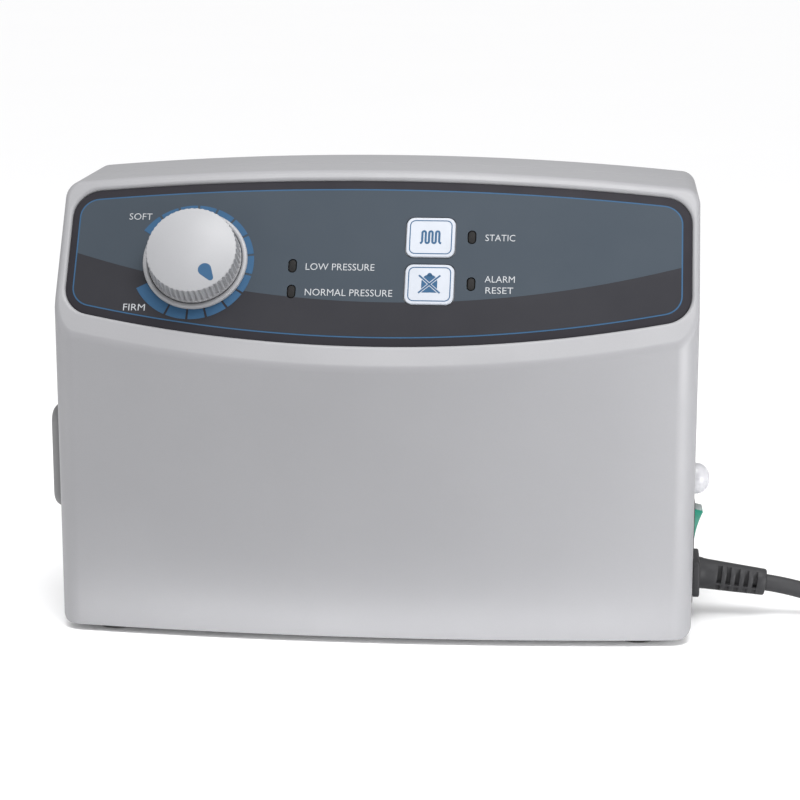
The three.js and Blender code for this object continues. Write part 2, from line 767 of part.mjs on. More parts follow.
// Compressor, on four rubber dampers
const baseLift = floorZ + damperHeight + gap + compressorBase[2];
const compressor = subGroup(...compressorAt, baseLift);
const [baseLength, baseWidth, baseThickness] = compressorBase;

function compressorTray() {
  const plate = solid(block(-baseLength / 2, baseLength / 2, -baseWidth / 2, baseWidth / 2,
    -baseThickness, 0));
  const pins = [-1, 1].map((side) =>
    solid(rod('z', armPinRadius, -1, 30, [side * armOffset, armPivotY], 12)),
  );
  return joined(plate, ...pins);
}

piece('compressor_base', compressorTray(), castGrey, compressor);

for (const [index, [x, y]] of [[-1, -1], [1, -1], [-1, 1], [1, 1]].entries()) {
  const at = [x * (baseLength / 2 - 8), y * (baseWidth / 2 - 8)];
  const from = -baseThickness - gap - damperHeight;
  const damper = rod('z', damperRadius, from, from + damperHeight, at, 12);
  piece(`compressor_damper_${index + 1}`, damper, blackRubber, compressor);
}

const core = [-1, 1].map((side) =>
  solid(centredBlock(side * (poleFace - coreFlange / 2), 0, (gap + coreTop) / 2, 22,
    (coreTop - gap) / 2, coreFlange / 2)),
);
const leg = solid(block(-poleFace + 1, poleFace - 1, -coreLegHalf, coreLegHalf, ...coreLeg));
piece('magnet_core', joined(...core, leg), castGrey, compressor);

const coilHalf = poleFace - coreFlange - runningGap;
const winding = solid(block(-coilHalf, coilHalf, -coilHalfWidth, coilHalfWidth, 1, coreTop - 1));
const window = solid(block(-poleFace, poleFace, -coreLegHalf - runningGap, coreLegHalf + runningGap,
  coreLeg[0] - runningGap, coreLeg[1] + runningGap));
piece('magnet_coil', surface(winding.subtract(window)), copper, compressor);

for (const [name, side] of [['left', -1], ['right', 1]]) {
  const armFace = armOffset + armThickness / 2;
  const plate = solid(centredBlock(side * armOffset, (armPivotY - armReach) / 2, bellowsZ,
    (armPivotY + armReach) / 2, armHalfHeight, armThickness / 2));
  const barrelSpan = [bellowsZ - armHalfHeight, bellowsZ + armHalfHeight];
  const barrel = solid(rod('z', armBarrel, ...barrelSpan, [side * armOffset, armPivotY], 16));
  const bore = solid(rod('z', armPinRadius + gap, 0, 34, [side * armOffset, armPivotY], 12));
  piece(`swing_arm_${name}`, surface(plate.add(barrel).subtract(bore)), steel, compressor);

  const magnetX = armOffset - armThickness / 2 - gap - magnetThickness / 2;
  const magnet = centredBlock(side * magnetX, bellowsY, bellowsZ, 12, armHalfHeight - 1, magnetThickness / 2);
  piece(`arm_magnet_${name}`, magnet, castGrey, compressor);

  const from = armFace + gap;
  const stations = [[0, from], [bellowsRadius, from], [bellowsRadius, from + bellowsLength],
    [bellowsRadius - 2, from + bellowsLength], [bellowsRadius - 2, from + 2], [0, from + 2]];
  const cup = turned('x', stations, 20);
  if (side < 0) cup.rotateZ(Math.PI);
  piece(`bellows_${name}`, cup.translate(0, bellowsY, bellowsZ), blackRubber, compressor);

  const headFrom = side < 0 ? -headInner - headThickness : headInner;
  const head = solid(block(headFrom, headFrom + headThickness, bellowsY - headHalfWidth,
    bellowsY + headHalfWidth, gap, headHeight));
  const bossSpan = side < 0 ? [-headInner - 1, 5 - headInner] : [headInner - 5, headInner + 1];
  const boss = solid(rod('x', 6.5, ...bossSpan, [bellowsY, bellowsZ], 16));
  const stubAt = [headFrom + headThickness / 2, bellowsY];
  const stub = solid(rod('z', nozzleRadius, headHeight - 1, nozzleTop, stubAt, 12));
  piece(`valve_head_${name}`, joined(head, boss, stub), paleNylon, compressor);
}

// Distribution valve and its motor
const valve = subGroup(...valveAt, floorZ);
const rotorFrom = valveHeight + gap;
const motorFrom = rotorFrom + rotorThickness + motorGap;

function valveBody() {
  let body = solid(rod('z', valveRadius, 0, valveHeight, [0, 0], 28));
  for (let step = 0; step < 3; step++) {
    const angle = (step * 2 * Math.PI) / 3 + 0.5;
    const at = [(valveRadius - 2.5) * Math.cos(angle), (valveRadius - 2.5) * Math.sin(angle)];
    body = body.add(solid(rod('z', motorPostRadius, valveHeight - 1, motorFrom - gap, at, 10)));
  }
  for (const side of [-1, 1]) {
    const at = [side * nozzleSpread, nozzleZ];
    const out = rod('x', nozzleRadius, valveRadius - 4, valveRadius + nozzleLength, at, 12);
    body = body.add(solid(out));
  }
  const into = rod('x', nozzleRadius, -valveRadius - nozzleLength, 2 - valveRadius, [0, nozzleZ], 12);
  return surface(body.add(solid(into)));
}

piece('valve_body', valveBody(), paleNylon, valve);
const rotorDisc = solid(rod('z', rotorRadius, rotorFrom, rotorFrom + rotorThickness, [0, 0], 24));
const rotorShaft = solid(rod('z', shaftRadius, rotorFrom + 1, motorFrom + 6, [0, 0], 16));
const rotorPort = solid(block(4, 16, -2, 2, rotorFrom - 1, rotorFrom + 2));
piece('valve_rotor', surface(rotorDisc.add(rotorShaft).subtract(rotorPort)), paleNylon, valve);
piece('valve_motor', turned('z', [
  [shaftRadius + gap, motorFrom], [motorRadius, motorFrom], [motorRadius, motorFrom + motorHeight],
  [0, motorFrom + motorHeight], [0, motorFrom + 7], [shaftRadius + gap, motorFrom + 7],
  [shaftRadius + gap, motorFrom],
], 32), castGrey, valve);

// Hoses and the power lead
function disc(radius, sides) {
  const shape = new THREE.Shape();
  for (let side = 0; side < sides; side++) {
    const angle = (side * 2 * Math.PI) / sides;
    const point = [radius * Math.cos(angle), radius * Math.sin(angle)];
    if (side) shape.lineTo(...point);
    else shape.moveTo(...point);
  }
  return shape;
}

function flexible(points, radius, steps, sides = 8) {
  const route = new THREE.CatmullRomCurve3(points.map((point) => new THREE.Vector3(...point)));
  return new THREE.ExtrudeGeometry(disc(radius, sides), { steps, extrudePath: route });
}

const headTop = [compressorAt[0] + headInner + headThickness / 2, compressorAt[1] + bellowsY,
  baseLift + nozzleTop + hoseGap];
const valveIn = [valveAt[0] - valveRadius - nozzleLength - hoseGap, valveAt[1], floorZ + nozzleZ];
piece('supply_hose', flexible([
  headTop, [headTop[0], headTop[1], headTop[2] + 9], [headTop[0] + 8, headTop[1] + 3, headTop[2] + 17],
  [headTop[0] + 19, headTop[1] + 8, headTop[2] + 10], [valveIn[0] - 12, valveIn[1], valveIn[2] + 16],
  [valveIn[0] - 8, valveIn[1], valveIn[2] + 2], valveIn,
], hoseRadius, 20), clearTube);

for (const [name, side] of [['a', -1], ['b', 1]]) {
  const from = [valveAt[0] + valveRadius + nozzleLength + hoseGap, valveAt[1] + side * nozzleSpread,
    floorZ + nozzleZ];
  const to = [portInnerEnd - hoseGap, portY + side * lumenOffset, portZ];
  const middleX = 104;
  piece(`outlet_hose_${name}`, flexible([
    from, [from[0] + 9, from[1], from[2] + 2], [middleX, from[1], from[2] + 14],
    [middleX - 1, (from[1] + to[1]) / 2, 42], [middleX - 3, to[1], portZ - 10],
    [to[0] - 6, to[1], portZ - 1], to,
  ], hoseRadius, 20), clearTube);
}

const shoulderFrom = proud + flangeThickness.inlet + gap;
const reliefFrom = shoulderFrom + connectorShoulder[2];

function connector() {
  const insert = solid(block(sideX - socketDepth + 1, shoulderFrom + 0.5,
    inletY - socketHalf[0] + gap, inletY + socketHalf[0] - gap,
    inletZ - socketHalf[1] + gap, inletZ + socketHalf[1] - gap));
  const [width, height] = connectorShoulder;
  const shoulder = pushed('x', roundedRectangle(width, height, 3, inletY, inletZ), shoulderFrom, reliefFrom);
  const relief = turned('x', [[0, -1], [reliefRadii[0], -1], [reliefRadii[1], reliefLength],
    [0, reliefLength]], 20);
  relief.rotateY(reliefDroop).translate(reliefFrom, inletY, inletZ);
  return joined(insert, solid(shoulder), solid(relief));
}

piece('mains_connector', connector(), blackPlastic);

const reliefEnd = reliefFrom + reliefLength * Math.cos(reliefDroop);
const reliefEndZ = inletZ - reliefLength * Math.sin(reliefDroop);
piece('cord_lead', flexible([
  [reliefEnd + 1, inletY, reliefEndZ - 0.2],
  [185, inletY, 13.9],
  [192, inletY, 12.3],
  [200, inletY, 10.1],
  [208, inletY, 7.8],
  [216, inletY, 5.8],
  [223, inletY, 4.6],
  [229.4, inletY, 4.1],
], cordRadius, 8, 10), cordBlack);

const bundleHalf = ((turnsAcross - 1) * turnPitch) / 2 + cordRadius;
const bundleHeight = (turnsHigh - 1) * turnPitch + 2 * cordRadius;
const coilInner = coilRadius - bundleHalf;
const coilOuter = coilRadius + bundleHalf;
const ring = turned('z', [[coilInner, 0], [coilOuter, 0], [coilOuter, bundleHeight],
  [coilInner, bundleHeight], [coilInner, 0]], 40);
piece('cord_coil', ring.translate(...coilCentre, 0), cordBlack);

piece('cord_tail', flexible([
  [301.6, 6.1, 8.2],
  [307.0, 11.0, 7.3],
  [312.4, 17.2, 6.9],
  [316.6, 23.6, 7.2],
  [319.6, 30.0, 8.2],
], cordRadius, 6, 10), cordBlack);

// The plug lies beside the coil, blades away from its lead.
const plugGroup = subGroup(320, 31, plugBody[1] / 2);
plugGroup.rotation.z = THREE.MathUtils.degToRad(-20);

function mainsPlug() {
  const [width, height, length] = plugBody;
  const relief = turned('y', [[0, 0], [cordRadius + 1.4, 0], [plugReliefRadius, plugRelief + 1],
    [0, plugRelief + 1]], 16);
  const body = pushed('y', roundedRectangle(width, height, 6), plugRelief, plugRelief + length);
  const end = plugRelief + length;
  const [bladeWidth, bladeHeight, bladeLength] = bladeSize;
  const blades = [-1, 1].map((side) =>
    solid(centredBlock((side * bladeSpacing) / 2, end + bladeLength / 2 - 1, 2.5, bladeLength / 2 + 1,
      bladeHeight / 2, bladeWidth / 2)),
  );
  const earth = solid(rod('y', earthPinRadius, end - 1, end + bladeLength + 2, [0, -5], 12));
  return joined(solid(relief), solid(body), ...blades, earth);
}

piece('mains_plug', mainsPlug(), blackPlastic, plugGroup);

export default unit;
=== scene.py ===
import json
import math
import bmesh
import bpy
from mathutils import Matrix, Vector

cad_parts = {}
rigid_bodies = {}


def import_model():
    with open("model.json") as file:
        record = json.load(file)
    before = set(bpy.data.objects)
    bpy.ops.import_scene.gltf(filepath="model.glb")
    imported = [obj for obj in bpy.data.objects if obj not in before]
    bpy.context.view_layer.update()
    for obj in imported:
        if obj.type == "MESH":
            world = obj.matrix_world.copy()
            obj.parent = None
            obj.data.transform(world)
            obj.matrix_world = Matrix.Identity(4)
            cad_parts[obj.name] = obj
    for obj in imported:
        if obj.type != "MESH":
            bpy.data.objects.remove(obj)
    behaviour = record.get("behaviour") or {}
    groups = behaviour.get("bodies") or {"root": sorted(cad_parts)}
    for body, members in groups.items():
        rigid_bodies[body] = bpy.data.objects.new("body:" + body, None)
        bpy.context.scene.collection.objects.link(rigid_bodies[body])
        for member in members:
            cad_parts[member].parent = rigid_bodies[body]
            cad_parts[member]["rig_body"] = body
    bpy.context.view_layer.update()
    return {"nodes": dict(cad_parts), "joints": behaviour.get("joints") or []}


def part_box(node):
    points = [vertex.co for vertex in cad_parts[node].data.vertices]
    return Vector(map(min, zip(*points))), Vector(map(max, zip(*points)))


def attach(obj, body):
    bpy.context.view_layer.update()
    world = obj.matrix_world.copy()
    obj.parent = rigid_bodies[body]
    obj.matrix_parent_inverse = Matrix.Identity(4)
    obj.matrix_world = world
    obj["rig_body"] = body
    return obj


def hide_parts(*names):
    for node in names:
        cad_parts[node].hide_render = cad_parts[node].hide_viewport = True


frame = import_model()
joints = {joint["name"]: joint for joint in frame["joints"]}
nodes = frame["nodes"]
mm = 0.001

# small tools, all sizes in millimetres


def clearAll():
    if bpy.context.object and bpy.context.object.mode != "OBJECT":
        bpy.ops.object.mode_set(mode="OBJECT")
    bpy.ops.object.select_all(action="DESELECT")


def pick(piece):
    clearAll()
    piece.select_set(True)
    bpy.context.view_layer.objects.active = piece


def named(piece, name):
    piece.name = name
    piece.data.name = name
    return piece


def camel(node):
    first, *rest = node.split("_")
    return first + "".join(word.title() for word in rest)


def boxOf(node):
    low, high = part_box(node)
    return low / mm, high / mm


def middleOf(node):
    low, high = boxOf(node)
    return (low + high) / 2


upright = Matrix.Identity(4)
alongY = Matrix(((1, 0, 0, 0), (0, 0, 1, 0), (0, 1, 0, 0), (0, 0, 0, 1)))
alongX = Matrix(((0, 0, 1, 0), (1, 0, 0, 0), (0, 1, 0, 0), (0, 0, 0, 1)))


def loft(name, rings, at=upright, ring=False):
    # rings are (height, outline); the first is drawn and the others are extruded from it
    clearAll()
    bpy.ops.mesh.primitive_circle_add(vertices=len(rings[0][1]), radius=0.01, fill_type="NGON")
    piece = named(bpy.context.object, name)
    bpy.ops.object.mode_set(mode="EDIT")
    edit = bmesh.from_edit_mesh(piece.data)
    order = edit.verts.layers.int.new("order")
    for index, vertex in enumerate(edit.verts):
        vertex[order] = index
    for step, (height, outline) in enumerate(rings):
        if step:
            bpy.ops.mesh.extrude_region_move()
        edit = bmesh.from_edit_mesh(piece.data)
        order = edit.verts.layers.int["order"]
        for vertex in edit.verts:
            if vertex.select:
                across, up = outline[vertex[order]]
                vertex.co = (at @ Vector((across, up, height))) * mm
        bmesh.update_edit_mesh(piece.data)
    if ring:
        corners = len(rings[0][1])
        edit = bmesh.from_edit_mesh(piece.data)
        for face in edit.faces:
            face.select = len(face.verts) == corners and corners > 4
        bmesh.update_edit_mesh(piece.data)
        bpy.ops.mesh.delete(type="ONLY_FACE")
        bpy.ops.mesh.select_all(action="DESELECT")
        bpy.ops.mesh.select_non_manifold()
        bpy.ops.mesh.bridge_edge_loops()
    bpy.ops.mesh.select_all(action="SELECT")
    bpy.ops.mesh.normals_make_consistent(inside=False)
    bpy.ops.object.mode_set(mode="OBJECT")
    piece.data.attributes.remove(piece.data.attributes["order"])
    return piece


def arc(x, y, radius, start, end, steps):
    angles = [start + (end - start) * step / steps for step in range(steps + 1)]
    return [(x + radius * math.cos(angle), y + radius * math.sin(angle)) for angle in angles]


def circle(radius, steps=48, at=(0, 0)):
    return arc(*at, radius, 0, 2 * math.pi * (steps - 1) / steps, steps - 1)


def cornerOf(half, edge, bow, radius):
    # height of a corner's centre, and the angle where its arc meets the edge
    if bow is None:
        return edge - radius, math.pi / 2
    reach, inner = half - radius, bow - radius
    return edge - bow + math.sqrt(inner**2 - reach**2), math.acos(reach / inner)


def bowedOutline(half, top, bottom, topBow, bottomBow, topRadius, bottomRadius, inset=0,
                 bowSteps=28):
    # an outline with straight sides, and upper and lower edges straight or bowed outwards
    half, top, bottom = half - inset, top - inset, bottom + inset
    topBow = topBow and topBow - inset
    bottomBow = bottomBow and bottomBow - inset
    topRadius, bottomRadius = max(topRadius - inset, 0.5), max(bottomRadius - inset, 0.5)
    upperY, upper = cornerOf(half, top, topBow, topRadius)
    lowerY, lower = cornerOf(half, -bottom, bottomBow, bottomRadius)
    points = arc(half - topRadius, upperY, topRadius, 0, upper, 9)
    if topBow:
        points += arc(0, top - topBow, topBow, upper, math.pi - upper, bowSteps)[1:-1]
    points += arc(topRadius - half, upperY, topRadius, math.pi - upper, math.pi, 9)
    start = math.pi + lower
    points += arc(bottomRadius - half, -lowerY, bottomRadius, math.pi, start, 9)
    if bottomBow:
        points += arc(0, bottom + bottomBow, bottomBow, start, 3 * math.pi - start, bowSteps)[1:-1]
    return points + arc(half - bottomRadius, -lowerY, bottomRadius, -lower, 0, 9)


def roundedRect(width, height, radius, at=(0, 0), steps=6):
    points = []
    for index, (right, up) in enumerate(((1, 1), (-1, 1), (-1, -1), (1, -1))):
        centre = (at[0] + right * (width / 2 - radius), at[1] + up * (height / 2 - radius))
        points += arc(*centre, radius, index * math.pi / 2, (index + 1) * math.pi / 2, steps)
    return points


def placed(at, turn, axis, then=upright):
    return Matrix.Translation(at) @ Matrix.Rotation(turn, 4, axis) @ then


def quarter(steps):
    # sine and inset share of a rounded edge, step by step
    turns = [step / steps * math.pi / 2 for step in range(steps + 1)]
    return [(math.sin(turn), 1 - math.cos(turn)) for turn in turns]


def domed(base, height, edge, outlineOf):
    # rings of a slab with its upper edge rounded over
    rings = [(base, outlineOf(0))]
    return rings + [(height - edge + edge * up, outlineOf(edge * inset))
                    for up, inset in quarter(4)]


def cut(piece, *cutters, how="DIFFERENCE"):
    for cutter in cutters:
        pick(piece)
        tool = piece.modifiers.new("cut", "BOOLEAN")
        tool.operation = how
        tool.solver = "EXACT"
        tool.object = cutter
        bpy.ops.object.modifier_apply(modifier=tool.name)
        bpy.data.objects.remove(cutter)
    return piece


def joinAll(name, pieces):
    pick(pieces[0])
    for piece in pieces[1:]:
        piece.select_set(True)
    bpy.ops.object.join()
    return named(bpy.context.object, name)


def copyOf(piece):
    pick(piece)
    bpy.ops.object.duplicate()
    return bpy.context.object


def bevelWhere(piece, test, width, segments=3, sharper=30):
    pick(piece)
    bpy.ops.object.mode_set(mode="EDIT")
    bpy.ops.mesh.select_mode(type="EDGE")
    bpy.ops.mesh.select_all(action="DESELECT")
    edit = bmesh.from_edit_mesh(piece.data)
    for edge in edit.edges:
        if len(edge.link_faces) == 2 and edge.calc_face_angle(0) > math.radians(sharper):
            middle = (edge.verts[0].co + edge.verts[1].co) / 2 / mm
            if test(middle, edge):
                edge.select = True
    bmesh.update_edit_mesh(piece.data)
    if any(edge.select for edge in edit.edges):
        bpy.ops.mesh.bevel(offset=width * mm, segments=segments, affect="EDGES", clamp_overlap=True)
    bpy.ops.mesh.select_mode(type="VERT")
    bpy.ops.object.mode_set(mode="OBJECT")
    return piece


def softEdges(piece, width, segments=2, angle=35):
    # a small round on every sharp edge
    pick(piece)
    tool = piece.modifiers.new("edges", "BEVEL")
    tool.width = width * mm
    tool.segments = segments
    tool.limit_method = "ANGLE"
    tool.angle_limit = math.radians(angle)
    bpy.ops.object.modifier_apply(modifier=tool.name)
    return piece


def slab(name, low, high, at=upright):
    clearAll()
    bpy.ops.mesh.primitive_cube_add(size=1)
    piece = named(bpy.context.object, name)
    for vertex in piece.data.vertices:
        spot = [low[i] if vertex.co[i] < 0 else high[i] for i in range(3)]
        vertex.co = (at @ Vector(spot)) * mm
    pick(piece)
    bpy.ops.object.mode_set(mode="EDIT")
    bpy.ops.mesh.select_all(action="SELECT")
    bpy.ops.mesh.normals_make_consistent(inside=False)
    bpy.ops.object.mode_set(mode="OBJECT")
    return piece


def turned(name, profile, at, steps, axis, ring=False):
    # a round piece from (height, radius) pairs
    rings = [(height, circle(radius, steps, at)) for height, radius in profile]
    return loft(name, rings, axis, ring)


def rod(name, axis, radius, low, high, at, steps=24):
    return turned(name, [(low, radius), (high, radius)], at, steps, axis)


def done(piece, body, material, replaces=(), smooth=30, weighted=False):
    pick(piece)
    if smooth:
        bpy.ops.object.shade_smooth_by_angle(angle=math.radians(smooth))
    if weighted:
        tool = piece.modifiers.new("shading", "WEIGHTED_NORMAL")
        tool.keep_sharp = True
        bpy.ops.object.modifier_apply(modifier=tool.name)
    piece.data.materials.clear()
    piece.data.materials.append(material)
    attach(piece, body)
    if replaces:
        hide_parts(*replaces)
    return piece


# finishes


def finish(name, colour, second, patch, roughness, grain, bump, depth, smear=60, brushed=None,
           fleck=None, fleckScale=0, fleckMost=0, **levels):
    # two-tone moulded colour, a fine grain and a roughness that wanders
    material = bpy.data.materials.new(name)
    material.use_nodes = True
    tree = material.node_tree
    shader = tree.nodes["Principled BSDF"]
    place = tree.nodes.new("ShaderNodeTexCoord")

    def noise(scale, detail=3.0):
        node = tree.nodes.new("ShaderNodeTexNoise")
        node.inputs["Scale"].default_value = scale
        node.inputs["Detail"].default_value = detail
        tree.links.new(place.outputs["Object"], node.inputs["Vector"])
        return node

    def spread(source, low, high):
        node = tree.nodes.new("ShaderNodeMapRange")
        ends = {"From Min": 0.3, "From Max": 0.7, "To Min": low, "To Max": high}
        for socket, value in ends.items():
            node.inputs[socket].default_value = value
        tree.links.new(source.outputs["Fac"], node.inputs["Value"])
        return node.outputs["Result"]

    def mixed(share):
        node = tree.nodes.new("ShaderNodeMix")
        node.data_type = "RGBA"
        tree.links.new(share, node.inputs["Factor"])
        return node

    tones = mixed(spread(noise(patch), 0, 1))
    tones.inputs["A"].default_value = (*colour, 1)
    tones.inputs["B"].default_value = (*second, 1)
    if fleck:
        flecked = mixed(spread(noise(fleckScale, 1.0), 0, fleckMost))
        flecked.inputs["B"].default_value = (*fleck, 1)
        tree.links.new(tones.outputs["Result"], flecked.inputs["A"])
        tones = flecked
    tree.links.new(tones.outputs["Result"], shader.inputs["Base Color"])
    tree.links.new(spread(noise(smear, 4.0), *roughness), shader.inputs["Roughness"])
    relief = tree.nodes.new("ShaderNodeBump")
    relief.inputs["Strength"].default_value = bump
    relief.inputs["Distance"].default_value = depth * mm
    fine = noise(grain, 2.0)
    tree.links.new(fine.outputs["Fac"], relief.inputs["Height"])
    tree.links.new(relief.outputs["Normal"], shader.inputs["Normal"])
    for level, value in levels.items():
        shader.inputs[levelSockets[level]].default_value = value
    if "soft" in levels:
        shader.inputs["Subsurface Radius"].default_value = (0.004, 0.004, 0.004)
        shader.inputs["Subsurface Scale"].default_value = 1
    if brushed:
        stretch = tree.nodes.new("ShaderNodeMapping")
        stretch.inputs["Scale"].default_value = brushed
        tree.links.new(place.outputs["Object"], stretch.inputs["Vector"])
        tree.links.new(stretch.outputs["Vector"], fine.inputs["Vector"])
    return material


levelSockets = {"metallic": "Metallic", "coat": "Coat Weight", "clear": "Transmission Weight",
                "soft": "Subsurface Weight", "specular": "Specular IOR Level"}
shellLook = dict(colour=(0.222, 0.222, 0.232), second=(0.213, 0.213, 0.223), patch=18,
    fleck=(0.188, 0.188, 0.196), fleckScale=1900, fleckMost=0.16, roughness=(0.42, 0.52), smear=40,
    grain=1500, bump=0.35, depth=0.03)
filmLook = dict(roughness=(0.52, 0.6), grain=2600, bump=0.12, depth=0.012, specular=0.06)
finishes = {
    "shell": finish("satinShell", **shellLook),
    # the filter cover is darker than the shell: partly its own darker plastic, partly painted shade
    # for the shadow it sits in on the left side
    "cover": finish("satinCoverAndShade", **{**shellLook, "colour": (0.125, 0.125, 0.128),
        "second": (0.118, 0.118, 0.121), "fleck": (0.1, 0.1, 0.102)}),
    "border": finish("panelBorder", colour=(0.022, 0.021, 0.025), second=(0.019, 0.018, 0.022),
        patch=30, **filmLook),
    "field": finish("panelField", colour=(0.039, 0.049, 0.061), second=(0.036, 0.046, 0.058),
        patch=24, **filmLook),
    # painted shade: a darker sheet that stands in for a soft reflection smudge on the lower field
    "paintedShade": finish("panelPaintedShade", colour=(0.024, 0.024, 0.028), second=(0.021, 0.021, 0.025),
        patch=24, **filmLook),
    "inkBlue": finish("inkBlue", colour=(0.031, 0.078, 0.148), second=(0.028, 0.072, 0.136),
        patch=200, roughness=(0.52, 0.6), grain=2600, bump=0.1, depth=0.01, specular=0.06),
    "inkWhite": finish("inkWhite", colour=(0.36, 0.37, 0.385), second=(0.33, 0.34, 0.355),
        patch=300, roughness=(0.5, 0.6), grain=2600, bump=0.1, depth=0.01, specular=0.1),
    "key": finish("whiteKey", colour=(0.325, 0.345, 0.385), second=(0.312, 0.332, 0.37), patch=120,
        roughness=(0.3, 0.38), grain=2200, bump=0.15, depth=0.015, specular=0.25),
    "lens": finish("smokedLens", colour=(0.008, 0.008, 0.008), second=(0.012, 0.011, 0.011),
        patch=500, roughness=(0.45, 0.55), grain=900, bump=0.1, depth=0.02, specular=0.08),
    "knob": finish("knobGrey", colour=(0.245, 0.247, 0.258), second=(0.236, 0.238, 0.249), patch=60,
        fleck=(0.2, 0.202, 0.21), fleckScale=2200, fleckMost=0.14, roughness=(0.4, 0.5), grain=1700,
        bump=0.3, depth=0.025),
    "green": finish("greenRocker", colour=(0.0, 0.2, 0.13), second=(0.0, 0.16, 0.105), patch=150,
        roughness=(0.15, 0.24), grain=900, bump=0.06, depth=0.02, coat=0.5, clear=0.15),
    "smokeEnd": finish("rockerEnd", colour=(0.3, 0.36, 0.36), second=(0.26, 0.32, 0.32), patch=150,
        roughness=(0.2, 0.3), grain=900, bump=0.08, depth=0.02),
    "cap": finish("milkyCap", colour=(0.42, 0.42, 0.44), second=(0.38, 0.38, 0.4), patch=140,
        roughness=(0.2, 0.3), grain=800, bump=0.1, depth=0.02, soft=0.3),
    "nylon": finish("naturalNylon", colour=(0.72, 0.7, 0.62), second=(0.68, 0.66, 0.57), patch=90,
        roughness=(0.35, 0.5), grain=1200, bump=0.2, depth=0.03, soft=0.2),
    "black": finish("blackPlastic", colour=(0.019, 0.019, 0.021), second=(0.024, 0.024, 0.026),
        patch=60, roughness=(0.42, 0.58), grain=1500, bump=0.3, depth=0.03, specular=0.3),
    "jacket": finish("cordJacket", colour=(0.02, 0.02, 0.022), second=(0.026, 0.026, 0.028),
        patch=45, roughness=(0.42, 0.55), grain=700, bump=0.18, depth=0.04, specular=0.3),
    "rubber": finish("footRubber", colour=(0.02, 0.02, 0.02), second=(0.028, 0.028, 0.027),
        patch=90, roughness=(0.7, 0.85), grain=1100, bump=0.4, depth=0.05),
    "steel": finish("platedSteel", colour=(0.56, 0.56, 0.57), second=(0.48, 0.48, 0.48), patch=110,
        roughness=(0.25, 0.42), grain=900, bump=0.2, depth=0.02, metallic=1.0, brushed=(1, 1, 12)),
    "brass": finish("plugBlades", colour=(0.7, 0.66, 0.58), second=(0.6, 0.56, 0.47), patch=160,
        roughness=(0.2, 0.34), grain=1200, bump=0.15, depth=0.02, metallic=1.0),
    "cast": finish("castMetal", colour=(0.36, 0.36, 0.37), second=(0.28, 0.28, 0.29), patch=80,
        roughness=(0.4, 0.6), grain=600, bump=0.5, depth=0.08, metallic=0.8),
    "copper": finish("copperWinding", colour=(0.55, 0.2, 0.07), second=(0.42, 0.13, 0.04),
        patch=120, roughness=(0.22, 0.4), grain=700, bump=0.7, depth=0.2, metallic=0.9,
        brushed=(0.2, 3, 3)),
    "board": finish("circuitBoard", colour=(0.012, 0.12, 0.045), second=(0.02, 0.16, 0.06),
        patch=260, fleck=(0.3, 0.3, 0.22), fleckScale=420, fleckMost=0.35, roughness=(0.22, 0.4),
        grain=800, bump=0.3, depth=0.05),
    "foam": finish("filterFoam", colour=(0.05, 0.052, 0.055), second=(0.09, 0.092, 0.095),
        patch=700, roughness=(0.9, 1.0), grain=900, bump=0.9, depth=0.4),
    "tube": finish("clearTube", colour=(0.82, 0.84, 0.82), second=(0.74, 0.77, 0.74), patch=60,
        roughness=(0.12, 0.25), grain=500, bump=0.1, depth=0.03, clear=0.5),
}
print("finishes made", len(finishes))

# camera

view = {"place": (101.3, -1049.7, 333.6), "turn": -5.10, "pitch": -12.66, "lens": 105.75,
        "sensor": 36, "nearest": 0.01}
turn, pitch = math.radians(view["turn"]), math.radians(view["pitch"])
level = math.cos(pitch)
forward = Vector((math.sin(turn) * level, math.cos(turn) * level, math.sin(pitch)))
clearAll()
bpy.ops.object.camera_add(location=Vector(view["place"]) * mm,
                          rotation=forward.to_track_quat("-Z", "Y").to_euler())
camera = bpy.context.object
camera.data.lens = view["lens"]
camera.data.sensor_width = view["sensor"]
camera.data.clip_start = view["nearest"]
bpy.context.scene.camera = camera

# power lead: straight out, down to the table, a coil of five turns, the plug beside it

lead = {"radius": 3.85, "length": 1500, "coilAt": (258, 47.5), "radii": (51.1, 43.1, 35.1),
        "pitch": 8, "floorZ": 3.85, "shift": 150, "shiftFrom": 210, "outFrom": 60, "climb": 120,
        "climbFrom": 840, "coilEnd": 1814.7, "coilSteps": 84}
inletMiddle = middleOf("mains_inlet")
leadY, inletZ = inletMiddle.y, inletMiddle.z
relief = {"from": 146.0, "length": 30.5, "droop": 7, "radii": (6.9, 6.1)}
droop = math.radians(relief["droop"])
outward = Vector((math.cos(droop), 0, -math.sin(droop)))
reliefTip = Vector((relief["from"], leadY, inletZ)) + outward * relief["length"]


def eased(value, start, length):
    share = min(max((value - start) / length, 0), 1)
    return (1 - math.cos(share * math.pi)) / 2


def coilPoint(angle):
    # angle in degrees from the first touch; bottom layer winds in, top layer winds out
    whole, part = divmod(angle, 360)
    outer, middle, inner = lead["radii"]
    start, end = (outer, middle, inner, inner, middle, outer, outer)[int(whole):int(whole) + 2]
    shiftFrom = lead["shiftFrom"] if whole < 3 else lead["outFrom"]
    radius = start + (end - start) * eased(part, shiftFrom, lead["shift"])
    lift = eased(angle, lead["climbFrom"], lead["climb"]) * lead["pitch"]
    turnAt = math.radians(angle - 90)
    x, y = lead["coilAt"]
    return x + radius * math.cos(turnAt), y + radius * math.sin(turnAt), lead["floorZ"] + lift


